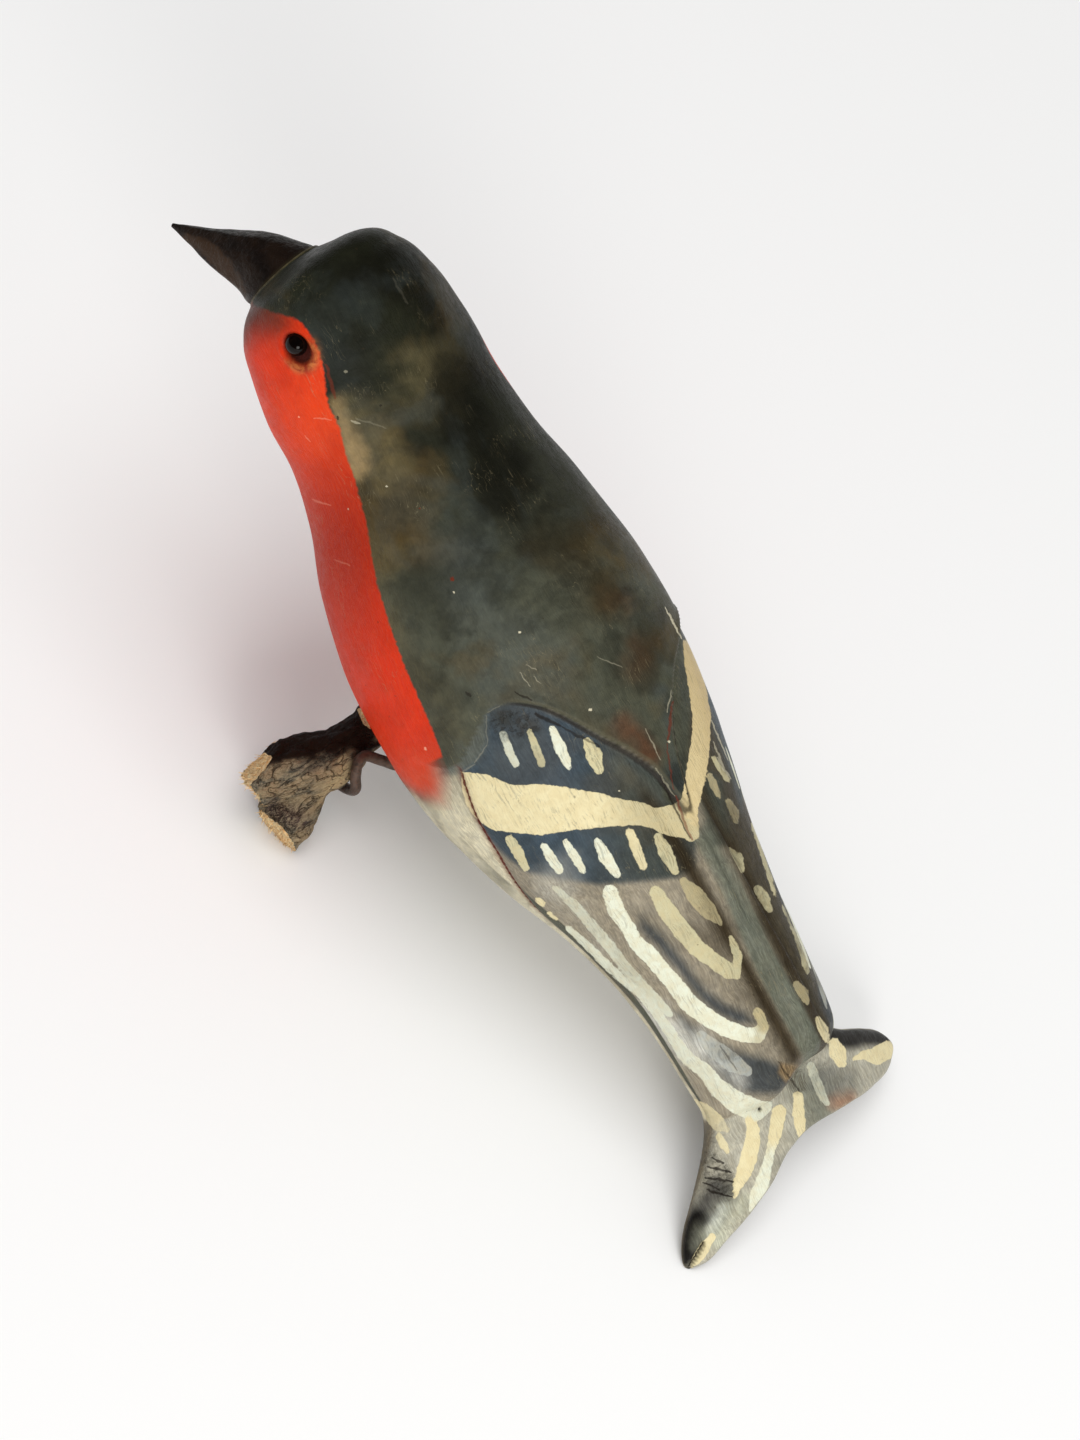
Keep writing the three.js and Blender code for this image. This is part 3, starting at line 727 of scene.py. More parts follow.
def ring_faces(rows: int, columns: int) -> Faces:
    """Quads of a skin over closed rings that follow each other forward."""
    faces = []
    for i in range(rows - 1):
        for j in range(columns):
            a, b = i * columns + j, i * columns + (j + 1) % columns
            faces.append((a, a + columns, b + columns, b))
    return faces


def fan_faces(start: int, columns: int, front: bool) -> Faces:
    """Cap that draws one ring together."""
    if front:
        return [(start, start + j + 1, start + j) for j in range(1, columns - 1)]
    return [(start, start + j, start + j + 1) for j in range(1, columns - 1)]


def closed_faces(rows: int, columns: int) -> Faces:
    """Skin over closed rings with a cap on both ends."""
    caps = fan_faces(0, columns, False) + fan_faces((rows - 1) * columns, columns, True)
    return ring_faces(rows, columns) + caps


def slit_faces(columns: int) -> Faces:
    """Cap of a flat rear end: each point of the upper edge meets the one straight below it."""
    half, quarter = columns // 2, columns // 4
    faces = []
    for j in range(-quarter, quarter):
        upper = ((j + columns) % columns, (j + 1 + columns) % columns)
        lower = (half - j, half - j - 1)
        if j > -quarter:
            faces.append((upper[0], upper[1], lower[0] % columns))
        if j + 1 < quarter:
            faces.append((upper[1], lower[1] % columns, lower[0] % columns))
    return faces


def make_piece(name: str, points: Array, faces: Faces, material: Material,
               nodes: tuple[str, ...] = ()) -> Piece:
    """Finished piece of the object, riding on the root body.

    Args:
        name: Name of the piece.
        points: Its points in the room, in metres.
        faces: Its faces, turned outward.
        material: Its finish.
        nodes: CAD nodes that it replaces.

    Returns:
        The object.
    """
    mesh = bpy.data.meshes.new(name)
    mesh.from_pydata(points.reshape(-1, 3).tolist(), [], faces)
    mesh.shade_smooth()
    mesh.materials.append(material)
    piece = in_scene(name, mesh)
    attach(piece, "root")
    if nodes:
        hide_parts(*nodes)
    LOG.info("%s: %d points, %d faces", name, len(mesh.vertices), len(mesh.polygons))
    return piece


def write_values(mesh: bpy.types.Mesh, values: dict[str, Array]) -> None:
    """Stores one number, or one colour, for each point of a mesh."""
    kinds = {3: ("FLOAT_VECTOR", "vector"), 4: ("FLOAT_COLOR", "color")}
    for name, value in values.items():
        kind, entry = kinds.get(value.shape[-1] if value.ndim > 1 else 1, ("FLOAT", "value"))
        layer = mesh.attributes.new(name, kind, "POINT")
        layer.data.foreach_set(entry, np.ascontiguousarray(value, np.float32).ravel())


def read_back(helper: Piece) -> tuple[Array, Faces]:
    """Points and faces of a helper object after its modifiers. The helper is then thrown away."""
    ready = bpy.data.meshes.new_from_object(helper.evaluated_get(bpy.context.evaluated_depsgraph_get()))
    points = np.empty(len(ready.vertices) * 3)
    ready.vertices.foreach_get("co", points)
    faces = [tuple(face.vertices) for face in ready.polygons]
    rough = helper.data
    helper.modifiers.clear()
    bpy.data.objects.remove(helper)
    for mesh in (rough, ready):
        bpy.data.meshes.remove(mesh)
    return points.reshape(-1, 3), faces


def grid_normals(points: Array) -> Array:
    """Outward normals of a skin over closed rings, shape rows, columns, 3."""
    along = np.gradient(points, axis=0)
    turned = np.roll(points, -1, axis=1) - np.roll(points, 1, axis=1)
    return unit(np.cross(along, turned))


def coloured(paint: Paint, like: Array) -> Array:
    """One paint's colour for each value of an array."""
    return np.broadcast_to(np.asarray(paint.value), like.shape + (3,)).copy()


def laid_over(under: Array, paint: Paint, cover: Array) -> Array:
    """Colours with another paint laid over them."""
    return under + (np.asarray(paint.value) - under) * np.clip(cover, 0, 1)[..., None]


@dataclass
class PaintedCarving:
    """The whole painted carving: a fine skin over the form, with its paint, some painted light and shade
    among it, as values on its points.
    """

    form: CarvedForm
    view: PhotoView
    stance: Stance
    columns: int = 264
    stretches: Rows = ((-86, -54, 64), (-54, 40, 135), (40, 112, 80), (112, 137, 55))
    whittling: float = 0.26
    full_depth: float = 4.0
    socket_radius: float = 4.3
    socket_depth: float = 4.9
    left_wing: LeftWingPattern = field(default_factory=LeftWingPattern)
    right_wing: RightWingPattern = field(default_factory=RightWingPattern)
    tail: TailPattern = field(default_factory=TailPattern)
    breast: Breast = field(default_factory=Breast)
    right_band: Rows = (
        (-3, -3, 1.8), (1, -13, 2.3), (10, -30, 3.2), (16.5, -43, 3.9), (21, -54, 4.2), (25, -66, 4.2),
        (26, -78, 3.2),
    )
    right_band_seen: Rows = (
        (684, 642, 1.6), (689, 664, 4.6), (697, 690, 8.6), (701, 715, 9.4), (700, 740, 9.0),
        (697, 765, 10.0), (694, 788, 9.0), (689, 808, 9.4), (694, 832, 5.0),
    )
    # Soft patches of other shades over the back and wings, measured in photo pixels
    back_dabs: tuple[Dab, ...] = (
        Dab(((380, 270, 50), (450, 320, 46)), 46, Paint.CROWN_BLACK, 0.85),
        Dab(((318, 330, 10), (340, 360, 14)), 26, Paint.BLUE_SLATE, 0.4),
        Dab(((350, 300, 6), (370, 340, 10)), 30, Paint.BLUE_SLATE, 0.2),
        Dab(((402, 350, 12), (436, 366, 14)), 30, Paint.OLIVE_TAN, 0.42),
        Dab(((410, 380, 8), (430, 400, 10)), 24, Paint.OLIVE_TAN, 0.5),
        Dab(((380, 470, 18), (405, 545, 22)), 30, Paint.WARM_BROWN, 0.85),
        Dab(((462, 400, 24), (480, 440, 34), (520, 520, 34)), 40, Paint.CROWN_BLACK, 0.88),
        Dab(((352, 410, 8), (370, 440, 13), (388, 480, 12)), 18, Paint.OLIVE_TAN, 0.5),
        Dab(((334, 404, 3), (346, 436, 6), (356, 470, 5)), 9, Paint.WORN_TAN, 0.8),
        Dab(((380, 560, 12), (405, 650, 16), (436, 730, 14)), 22, Paint.OLIVE_TAN, 0.4),
        # Painted sheen: the broad blue-grey highlight on the middle of the back.
        Dab(((470, 590, 26), (535, 680, 30)), 44, Paint.GREY_SLATE, 0.55),
        Dab(((560, 540, 24), (600, 600, 20)), 40, Paint.WARM_BROWN, 0.4),
        Dab(((612, 540, 16), (655, 640, 18)), 34, Paint.WARM_BROWN, 0.8),
        Dab(((626, 600, 6), (640, 660, 8)), 22, Paint.RED_BROWN, 0.4),
        Dab(((634, 730, 8), (655, 752, 8)), 14, Paint.RED_BROWN, 0.85),
        Dab(((664, 690, 5), (672, 740, 5), (676, 780, 5)), 10, Paint.BLUE_SLATE, 0.6),
    )
    wing_dabs: tuple[Dab, ...] = (
        Dab(((610, 905, 8), (700, 930, 8)), 26, Paint.VALLEY_BROWN, 0.25),
        # Painted highlight: the whitish sheen on the left wing's lower end.
        Dab(((700, 1050, 6), (740, 1078, 8)), 16, Paint.WING_PALE, 0.7),
        Dab(((648, 1016, 8), (690, 1048, 10)), 12, Paint.WING_PALE, 0.85),
        Dab(((690, 925, 5), (722, 955, 8), (742, 996, 12)), 14, Paint.VALLEY_BROWN, 0.5),
        Dab(((560, 890, 8), (600, 930, 8)), 22, Paint.WING_PALE, 0.4),
        Dab(((500, 880, 6), (560, 950, 8)), 18, Paint.VALLEY_BROWN, 0.35),
        Dab(((640, 792, 10), (664, 800, 8)), 14, Paint.SLATE_DARK, 0.9),
        Dab(((618, 768, 8), (636, 784, 8), (654, 798, 6)), 13, Paint.GREY_SLATE, 0.75),
        Dab(((498, 722, 6), (536, 728, 8)), 12, Paint.DARK_SLATE_GREEN, 0.75),
        Dab(((711, 786, 9), (715, 812, 12), (718, 838, 11)), 6, Paint.SLATE_DARK, 0.92),
        Dab(((668, 640, 16), (676, 700, 16), (676, 760, 15), (676, 792, 10)), 3, Paint.CAPE_GREY, 1.0),
        Dab(((681, 668, 4), (684, 720, 5), (682, 780, 4)), 5, Paint.SLATE_DARK, 0.85),
        Dab(((752, 920, 7), (800, 1000, 8)), 12, Paint.DARK_SLATE_GREEN, 0.45),
    )
    tail_dabs: tuple[Dab, ...] = (
        # Painted shade: dark grey and near-black on the outer edge of the tail's left lobe.
        Dab(((722, 1196, 12), (708, 1216, 15)), 9, Paint.TAIL_DUSK, 0.9),
        Dab(((699, 1219, 6), (693, 1232, 12), (688, 1246, 12), (681, 1258, 10)), 5, Paint.TAIL_BLACK, 1.0),
        Dab(((704, 1146, 6), (716, 1190, 9)), 14, Paint.VALLEY_BROWN, 0.15),
        # Painted highlight: a grey glint on the dark outer edge of the tail's left lobe.
        Dab(((725, 1209, 3), (712, 1230, 3)), 5, Paint.HAZE, 0.8),
        Dab(((744, 1206, 9), (720, 1240, 8)), 14, Paint.TAIL_OLIVE, 0.7),
        Dab(((786, 1150, 5), (776, 1180, 5)), 10, Paint.WING_BLUE, 0.6),
        Dab(((836, 1034, 12), (886, 1038, 13)), 7, Paint.TAIL_BLACK, 0.97),
        Dab(((841, 1102, 4), (850, 1098, 5)), 9, Paint.RUST, 0.6),
        Dab(((820, 1078, 8), (850, 1080, 10)), 14, Paint.WING_BLUE, 0.5),
    )
    shoulder: Rows = (
        (440, 775), (448, 740), (458, 712), (476, 698), (505, 690), (545, 702), (545, 716), (505, 718),
        (492, 726), (494, 750), (478, 768), (462, 776),
    )
    end_grain: Rows = ((781, 1063), (796, 1066), (807, 1080), (806, 1090), (797, 1094), (787, 1083),
                       (779, 1073))
    gouges: Rows = ((704, 1150), (716, 1152), (736, 1176), (735, 1194), (728, 1200), (712, 1192),
                    (702, 1190))
    gouged_patch: Rows = ((492, 712), (520, 708), (536, 714), (541, 730), (520, 737), (496, 733),
                          (488, 722))
    tip_split: Rows = ((704, 1243, 0.0), (697, 1256, 0.0), (688, 1269, 0.0))
    nail_hole: tuple[float, float, float] = (760, 1109, 2.2)

    def stations(self) -> Array:
        """Stations of the rings, close together where the form and paint are fine."""
        parts = [np.linspace(low, high, int(steps), endpoint=False) for low, high, steps in self.stretches]
        return np.append(np.concatenate(parts), self.form.beak_facet)

    def mapped(self) -> tuple[Array, Array, Array, Array]:
        """Station and degrees of each grid point, with its place and the place of its mirror twin."""
        rows = self.stations()
        degrees = self.form.even_degrees(rows, self.columns)
        degrees = np.where(degrees > 180, degrees - 360, degrees)
        station = np.broadcast_to(rows[:, None], degrees.shape)
        return station, degrees, self.form.skin(station, degrees), self.form.skin(station, np.abs(degrees))

    def eye_sockets(self, points: Array) -> tuple[Array, Array, Array]:
        """Oval sockets round the beads.

        Args:
            points: Grid points.

        Returns:
            How far each point moves along its normal, the putty rim's share, and the share of painted shade
            in the socket round the bead.
        """
        push, rim, socket_shade = (np.zeros(points.shape[:-1]) for _ in range(3))
        tailward = np.array([0.0, 1.0, 0.25])
        for side in (1, -1):
            centre = self.form.eye_centre(side)
            out = unit(centre - self.form.plane(np.array(self.form.eye_station))[0])
            rear = unit(tailward - (tailward @ out) * out)
            offset = points - centre - 0.9 * rear
            flat = offset - (offset @ out)[..., None] * out
            lengthwise = flat @ rear
            crosswise = np.linalg.norm(flat - lengthwise[..., None] * rear, axis=-1)
            distance = np.hypot(lengthwise / 1.28, crosswise)
            near = (offset @ out > -4) & (distance < 8)
            bowl = -1.0 * (1 - ramp(2.0, 3.2, distance))
            lip = 0.28 * bell(distance - 3.5, 0.6)
            filler = bell(distance - 3.3, 1.0) * ramp(-1.6, 2.0, lengthwise)
            push += np.where(near, bowl + lip, 0)
            rim = np.maximum(rim, np.where(near, filler, 0))
            # Near-black painted shade in the socket's hollow round the bead.
            socket_shade = np.maximum(socket_shade, np.where(near, 1 - ramp(2.3, 3.1, distance), 0))
        return push, rim, socket_shade

    def front_rings(self) -> tuple[Array, Array]:
        """Rings that close the head's front facet: a bead of filler, the socket's wall and its floor."""
        station = np.array(self.form.beak_facet)
        centre, forward, left, back, _ = self.form.plane(station)
        degrees = self.form.even_degrees(station[None], self.columns)[0]
        sine, cosine = np.sin(np.radians(degrees)), np.cos(np.radians(degrees))
        profile = ((9.25, 0.22), (9.1, 0.42), (8.85, 0.5), (8.4, 0.38), (self.socket_radius, 0.0),
                   (self.socket_radius, -self.socket_depth))
        rings = [centre + forward * ahead + radius * (left * sine[:, None] + back * cosine[:, None])
                 for radius, ahead in profile]
        return np.array(rings), degrees

    def shown_depth(self, depth: Array, share: Array) -> Array:
        """Depth inside a stroke, taken down to nothing where its share is 0."""
        return depth - self.full_depth * (1 - share)

    def inside(self, own: Array, outline: Rows, low: float, high: float) -> Array:
        """Share of a measured outline's inside, while the depth in it goes from low to high millimetres."""
        return ramp(low, high, outline_depth(own, outline) * self.view.pixel_size)

    def strokes_depth(self, at: Array, strokes: tuple[Stroke, ...], scale: float) -> tuple[Array, Array]:
        """Depth inside the nearest of some strokes, and their colour with its cover.

        Args:
            at: Places on the map that the strokes were measured on.
            strokes: The strokes.
            scale: Millimetres for one unit of that map.

        Returns:
            Depth in millimetres, and colours with cover as a fourth value.
        """
        depths = np.stack([line_depth(at, stroke.line) for stroke in strokes]) * scale
        weight = np.exp(np.clip(depths - depths.max(axis=0), -12, 0) / 0.35)
        weight /= weight.sum(axis=0)
        colours = np.array([(*stroke.paint.value, stroke.cover) for stroke in strokes])
        return depths.max(axis=0), np.einsum("s...,sc->...c", weight, colours)

    def pattern(self, station: Array, degrees: Array, own: Array, twin: Array, seen: Array,
                twin_seen: Array) -> tuple[Array, Array]:
        """Cream pattern over wings and tail.

        Args:
            station: Distance along the body.
            degrees: Turn round it.
            own: Photo pixels of each point.
            twin: Photo pixels of its mirror twin.
            seen: How squarely each point faces the photograph.
            twin_seen: The same for its twin.

        Returns:
            Depth inside the strokes in millimetres, and their colours with cover.
        """
        scale = self.view.pixel_size
        left = self.left_wing
        strokes = left.dashes_above + left.dashes_below + left.bars
        on_wing = ramp(-71, -67, station)
        layers = []
        right_share = ramp(34, 46, -degrees)
        for at, facing, share in ((own, seen, ramp(-14, -8, degrees)), (twin, twin_seen, right_share)):
            depth, colour = self.strokes_depth(at, strokes, scale)
            layers.append((self.shown_depth(depth, share * on_wing * ramp(-0.02, 0.06, facing)), colour))
        band = self.shown_depth(outline_depth(own, left.band) * scale,
                                ramp(-20, -14, degrees) * ramp(-0.02, 0.06, seen))
        tan = np.clip(ramp(590, 650, own[..., 0]) * 0.65, 0, 1)
        band_colour = laid_over(coloured(Paint.CREAM, band), Paint.TAN, tan)
        layers.append((band, np.concatenate([band_colour, np.ones(band.shape + (1,))], -1)))
        seen_band = self.shown_depth(line_depth(own, self.right_band_seen) * scale, ramp(0.02, 0.12, seen))
        flat = self.form.unroll(station, degrees)
        band_line = tuple((s, math.radians(d) * float(self.form.girth_radius(np.array(s))), w)
                          for s, d, w in self.right_band)
        far_band = self.shown_depth(line_depth(flat, band_line), ramp(38, 44, -degrees))
        right_band = np.maximum(seen_band, far_band)
        tan = 0.45 + 0.3 * ramp(8, 45, -degrees)
        right_colour = laid_over(coloured(Paint.CREAM, tan), Paint.OCHRE, tan)
        layers.append((right_band, np.concatenate([right_colour, np.ones(tan.shape + (1,))], -1)))
        for marks, share in ((self.right_wing.marks, ramp(4, 10, -degrees)),
                             (self.tail.stripes, 1 - ramp(-58, -54, station))):
            depth, colour = self.strokes_depth(own, marks, scale)
            layers.append((self.shown_depth(depth, share * ramp(0.0, 0.08, seen)), colour))
        depths = np.stack([depth for depth, _ in layers])
        nearest = depths.argmax(axis=0)
        colours = np.stack([colour for _, colour in layers])
        best = np.take_along_axis(colours, nearest[None, ..., None], axis=0)[0]
        return np.clip(depths.max(axis=0), -self.full_depth, self.full_depth), best

    def ground(self, station: Array, degrees: Array, own: Array, twin: Array, seen: Array) -> Array:
        """Ground coat's colours, from crown to tail, with painted sheen, highlight and shade among its
        patches.

        Args:
            station: Distance along the body.
            degrees: Turn round it.
            own: Photo pixels of each point.
            twin: Photo pixels of its mirror twin.
            seen: How squarely each point faces the photograph.

        Returns:
            Colours, last axis red green blue.
        """
        side = np.abs(degrees)
        behind = self.form.cape_across(station, degrees)
        shown = ramp(0.0, 0.25, seen)
        coat = coloured(Paint.CAPE_GREY, station)
        coat = laid_over(coat, Paint.DARK_SLATE_GREEN, ramp(44, 104, station))
        coat = self.dabbed(coat, self.back_dabs, own, shown)
        mirrored = 1 - shown
        nape = ramp(80, 100, station) * ramp(10, 50, -degrees)
        coat = laid_over(coat, Paint.WARM_BROWN, 0.5 * mirrored * nape)
        # Painted sheen: the same blue-grey highlight on the middle of the back, where the camera doesn't
        # see it.
        coat = laid_over(coat, Paint.GREY_SLATE, 0.6 * mirrored * bell(station - 55, 22))
        wing = coloured(Paint.WING_MAUVE, station)
        right = ramp(2, 14, -degrees) * (1 - 0.55 * ramp(45, 70, -degrees))
        wing = laid_over(wing, Paint.RIGHT_WING, 0.9 * right)
        shoulder = self.inside(own, self.shoulder, -1.0, 1.0) * shown
        wing = laid_over(wing, Paint.GREY_SLATE, shoulder)
        right_share = ramp(30, 46, -degrees)
        for at, share in ((own, ramp(-12, -4, degrees)), (twin, right_share)):
            slate = share * self.inside(at, self.left_wing.slate_field, -0.9, 0.9)
            wing = laid_over(wing, Paint.SLATE_FIELD, slate)
            wing = laid_over(wing, Paint.SLATE_DARK, slate * ramp(560, 650, at[..., 0]) * 0.8)
            for outline in (self.left_wing.blue_between, self.left_wing.lower_blue):
                blue = share * self.inside(at, outline, -1.6, 1.4)
                wing = laid_over(wing, Paint.WING_BLUE, 0.9 * blue)
        wing = self.dabbed(wing, self.wing_dabs, own, shown)
        ridge_side = self.form.ridge_across(station, degrees)
        reach = self.form.ridge_reach(station, degrees)
        crest = ridge_side - 0.9 - 1.7 * ramp(15, 42, -station)
        reach = np.maximum(reach, bell(crest, 3.0) * ramp(8, 12, -station) * ramp(0.4, 1.6, behind))
        # The brown beside the band is partly paint and partly painted shade in its valleys.
        wing = laid_over(wing, Paint.VALLEY_BROWN, 0.95 * reach * bell(ridge_side - 6.2, 2.6))
        wing = laid_over(wing, Paint.VALLEY_BROWN, 0.8 * reach * bell(crest + 4.2, 1.8))
        wing = laid_over(wing, Paint.RIDGE_BLUE, 0.9 * reach * (1 - ramp(1.3, 2.5, np.abs(crest))))
        grain = self.inside(own, self.end_grain, -0.7, 0.7) * ramp(-20, -14, degrees)
        wing = laid_over(wing, Paint.END_GRAIN, grain * shown)
        on_wing = (behind > 0) & (side < 96) & (station < 40)
        coat = np.where(on_wing[..., None], wing, coat)
        belly = coloured(Paint.BELLY, station)
        below = ramp(-0.4, 0.6, self.form.groove_across(station, degrees)) * (1 - ramp(20, 30, station))
        below = np.maximum(below, ramp(104, 112, side) * (1 - ramp(24, 34, station)))
        coat = coat + (belly - coat) * below[..., None]
        across_tail = self.form.tail_share(station, degrees)
        tail = coloured(Paint.TAIL_GREY, station)
        tail = laid_over(tail, Paint.RIDGE_BLUE, 0.7 * bell(across_tail + 0.12, 0.2))
        tail = self.dabbed(tail, self.tail_dabs, own, shown)
        under = ramp(88, 96, side)
        tail = laid_over(tail, Paint.UNDERSIDE, under * 0.9)
        past = 1 - ramp(0.35, 0.55, self.form.wing_end(station, across_tail))
        on_tail = np.maximum(past, ramp(61, 66, -station) * under) * (station < -50)
        return coat + (tail - coat) * on_tail[..., None]

    @staticmethod
    def dabbed(coat: Array, dabs: tuple[Dab, ...], own: Array, shown: Array) -> Array:
        """Colours with soft patches laid over them, their edges cloudy."""
        flat = np.concatenate([own, 0 * own[..., :1]], -1)
        cloud = Lumps(61).layered(flat, 46.0, 4)
        for dab in dabs:
            depth = line_depth(own, dab.line) + 0.9 * dab.soft * cloud
            coat = laid_over(coat, dab.paint, dab.cover * shown * ramp(-dab.soft, dab.soft, depth))
        return coat

    def red_depth(self, station: Array, degrees: Array) -> Array:
        """Depth inside the vermilion breast, in millimetres."""
        side = np.abs(degrees)
        edge = np.where(degrees >= 0, spline(self.breast.left_edge, station)[..., 0],
                        spline(self.breast.right_edge, station)[..., 0])
        radius = self.form.girth_radius(station)
        step = 0.5
        slope = (spline(self.breast.left_edge, station + step)
                 - spline(self.breast.left_edge, station - step))[..., 0]
        lean = np.radians(slope / (2 * step)) * radius
        from_side = np.radians(side - edge) * radius / np.sqrt(1 + lean**2)
        from_rear = station - spline(self.breast.rear, side)[..., 0]
        return np.clip(np.minimum(from_side, from_rear), -4, 8)

    def breast_colour(self, station: Array, own: Array) -> Array:
        """Vermilion, brighter on the cheek and throat and deeper where it turns under, partly the paint's
        own tone and partly painted light and shade; by the eye a dark red that is partly grime and partly
        painted shade.
        """
        colour = coloured(Paint.VERMILION, station)
        patches = ((Paint.CHEEK_RED, (322, 430), (1, 1), 60, 0.75),
                   (Paint.DEEP_RED, (345, 545), (1, 1.6), 60, 0.8),
                   (Paint.GRIMY_RED, (277, 320), (1, 1), 17, 0.75))
        for paint, middle, stretch, reach, cover in patches:
            gap = np.linalg.norm((own - middle) / stretch, axis=-1)
            colour = laid_over(colour, paint, cover * bell(gap, reach))
        return laid_over(colour, Paint.REAR_RED, 0.5 * (1 - ramp(26, 40, station)))

    def build(self, material: Material) -> Piece:
        """Whole carving as one closed skin.

        Args:
            material: Finish of the painted wood.

        Returns:
            The finished piece.
        """
        station, degrees, points, twins = self.mapped()
        normals = grid_normals(points)
        twin_normals = np.where((degrees < 0)[..., None], np.roll(normals[:, ::-1], 1, axis=1), normals)
        own, twin = self.view.project(points), self.view.project(twins)
        seen, twin_seen = self.view.facing(points, normals), self.view.facing(twins, twin_normals)
        scale = self.view.pixel_size
        depth, stroke_colour = self.pattern(station, degrees, own, twin, seen, twin_seen)
        ground = self.ground(station, degrees, own, twin, seen)
        red = self.red_depth(station, degrees)
        push, rim, socket_shade = self.eye_sockets(points)
        knife = Lumps(11)
        push += self.whittling * knife.layered(points, 11.0, 2, (1, 1.6, 1)) * ramp(-86, -80, station)
        push += 0.05 * knife.at(points, 2.6, (1, 3, 1))
        front = ramp(0.0, 0.1, seen)
        patch = self.inside(own, self.gouged_patch, -0.6, 0.8) * front
        push += patch * (-0.35 + 0.4 * Lumps(5).at(points, 1.7, (1.8, 1, 1)))
        tooled = self.inside(own, self.gouges, -0.8, 0.8) * front * (station < -60)
        bend = 2.5 * Lumps(3).at(points, 4.0)
        push += tooled * 0.35 * np.sin(own[..., 1] * 1.15 + own[..., 0] * 0.22 + bend)
        split = np.abs(line_depth(own, self.tip_split)) * scale
        push -= 0.9 * (1 - ramp(0.1, 0.7, split)) * front * (station < -75)
        grain = self.inside(own, self.end_grain, -0.6, 0.6) * front * (degrees > -20) * (station < -40)
        push += grain * (-0.3 + 0.22 * Lumps(8).at(points, 0.9, (1, 5, 1)))
        nail = np.linalg.norm(own - self.nail_hole[:2], axis=-1)
        push -= 0.6 * (1 - ramp(0.6, 1.4, nail / self.nail_hole[2])) * front
        points = points + normals * push[..., None]
        rings, _ = self.front_rings()
        rows = len(points) + len(rings)
        placed = self.stance.place(np.concatenate([points, rings]))
        placed[..., 2] = np.maximum(placed[..., 2], 0.0)
        faces = ring_faces(rows, self.columns) + slit_faces(self.columns)
        faces += fan_faces((rows - 1) * self.columns, self.columns, True)
        piece = make_piece("painted_carving", placed, faces, material, ("bird_body",))
        groove = self.form.groove_reach(station) * (0.35 + 0.65 * ramp(-10, 0, station))
        cape = self.form.cape_across(station, degrees)
        side = np.abs(degrees)
        torn = ramp(self.form.torn_from, self.form.torn_from + 8, degrees)
        cape_reach = (1 - ramp(56, 72, side)) * (1 - torn)
        slate = self.inside(own, self.left_wing.slate_field, -0.9, 0.9) * (degrees > -14)
        values = {
            "stroke_depth": depth, "red_depth": red, "putty": rim, "socket_shade": np.maximum(socket_shade, 0),
            "groove_line": np.clip(self.form.groove_across(station, degrees), -6, 6),
            "groove_reach": groove,
            "cape_line": np.clip(cape, -6, 6), "cape_reach": cape_reach,
            "wing_share": (1 - ramp(-1, 1, -cape)) * (side < 100) * (1 - ramp(30, 44, station))
            * (1 - 0.65 * slate),
            "bare_grain": np.maximum(grain, 0.3 * patch), "tooled": np.maximum(tooled, patch),
            "split": 1 - ramp(0.15, 0.5, split), "nail": (1 - ramp(0.6, 1.1, nail / self.nail_hole[2]))
            * front,
            "haze": np.maximum(ramp(123, 134, station) * ramp(50, 72, side),
                               1.1 * (1 - ramp(0, 7, red)) * (station < 32)),
            "shown": front,
            "photo_place": np.concatenate([own, np.zeros(station.shape + (1,))], -1),
        }
        values = {name: self.with_front(value, rings, 0.0) for name, value in values.items()}
        values["joint"] = self.with_front(np.zeros(station.shape), rings, 1.0)
        one = np.ones(station.shape + (1,))
        for name, colour in (("ground", np.concatenate([ground, one], -1)), ("strokes", stroke_colour),
                             ("breast", np.concatenate([self.breast_colour(station, own), one], -1))):
            values[name] = self.with_front(colour, rings, 0.05)
        write_values(piece.data, values)
        return piece

    def with_front(self, value: Array, rings: Array, filler: float) -> Array:
        """Values of the grid followed by one filler value for the rings of the front facet."""
        shape = (len(rings),) + value.shape[1:]
        joined = np.concatenate([np.asarray(value, float), np.full(shape, filler)])
        return joined.reshape((-1,) + value.shape[2:])


# Finishes


@dataclass(frozen=True)
class Reading:
    """Output of a node, which can be reckoned with like a number."""

    w: "Wiring"
    socket: bpy.types.NodeSocket

    def __add__(self, other: object) -> "Reading":
        """Sum."""
        return self.w.maths("ADD", self, other)

    def __sub__(self, other: object) -> "Reading":
        """Difference."""
        return self.w.maths("SUBTRACT", self, other)

    def __rsub__(self, other: object) -> "Reading":
        """Difference from a number."""
        return self.w.maths("SUBTRACT", other, self)

    def __mul__(self, other: object) -> "Reading":
        """Product."""
        return self.w.maths("MULTIPLY", self, other)

    def __truediv__(self, other: object) -> "Reading":
        """Quotient."""
        return self.w.maths("DIVIDE", self, other)

    def __rtruediv__(self, other: object) -> "Reading":
        """Quotient of a number."""
        return self.w.maths("DIVIDE", other, self)

    def __abs__(self) -> "Reading":
        """Size without its sign."""
        return self.w.maths("ABSOLUTE", self)

    __radd__ = __add__
    __rmul__ = __mul__


@dataclass(frozen=True)
class Fitting:
    """Node in a tree, with its outputs by name or number."""

    w: "Wiring"
    node: bpy.types.Node

    def __getitem__(self, name: str | int) -> Reading:
        """One of its outputs."""
        return Reading(self.w, self.node.outputs[name])

    def feed(self, name: str | int, value: object) -> None:
        """Gives one of its inputs a value or another node's output."""
        if isinstance(value, Reading):
            self.w.tree.links.new(value.socket, self.node.inputs[name])
        else:
            self.node.inputs[name].default_value = value


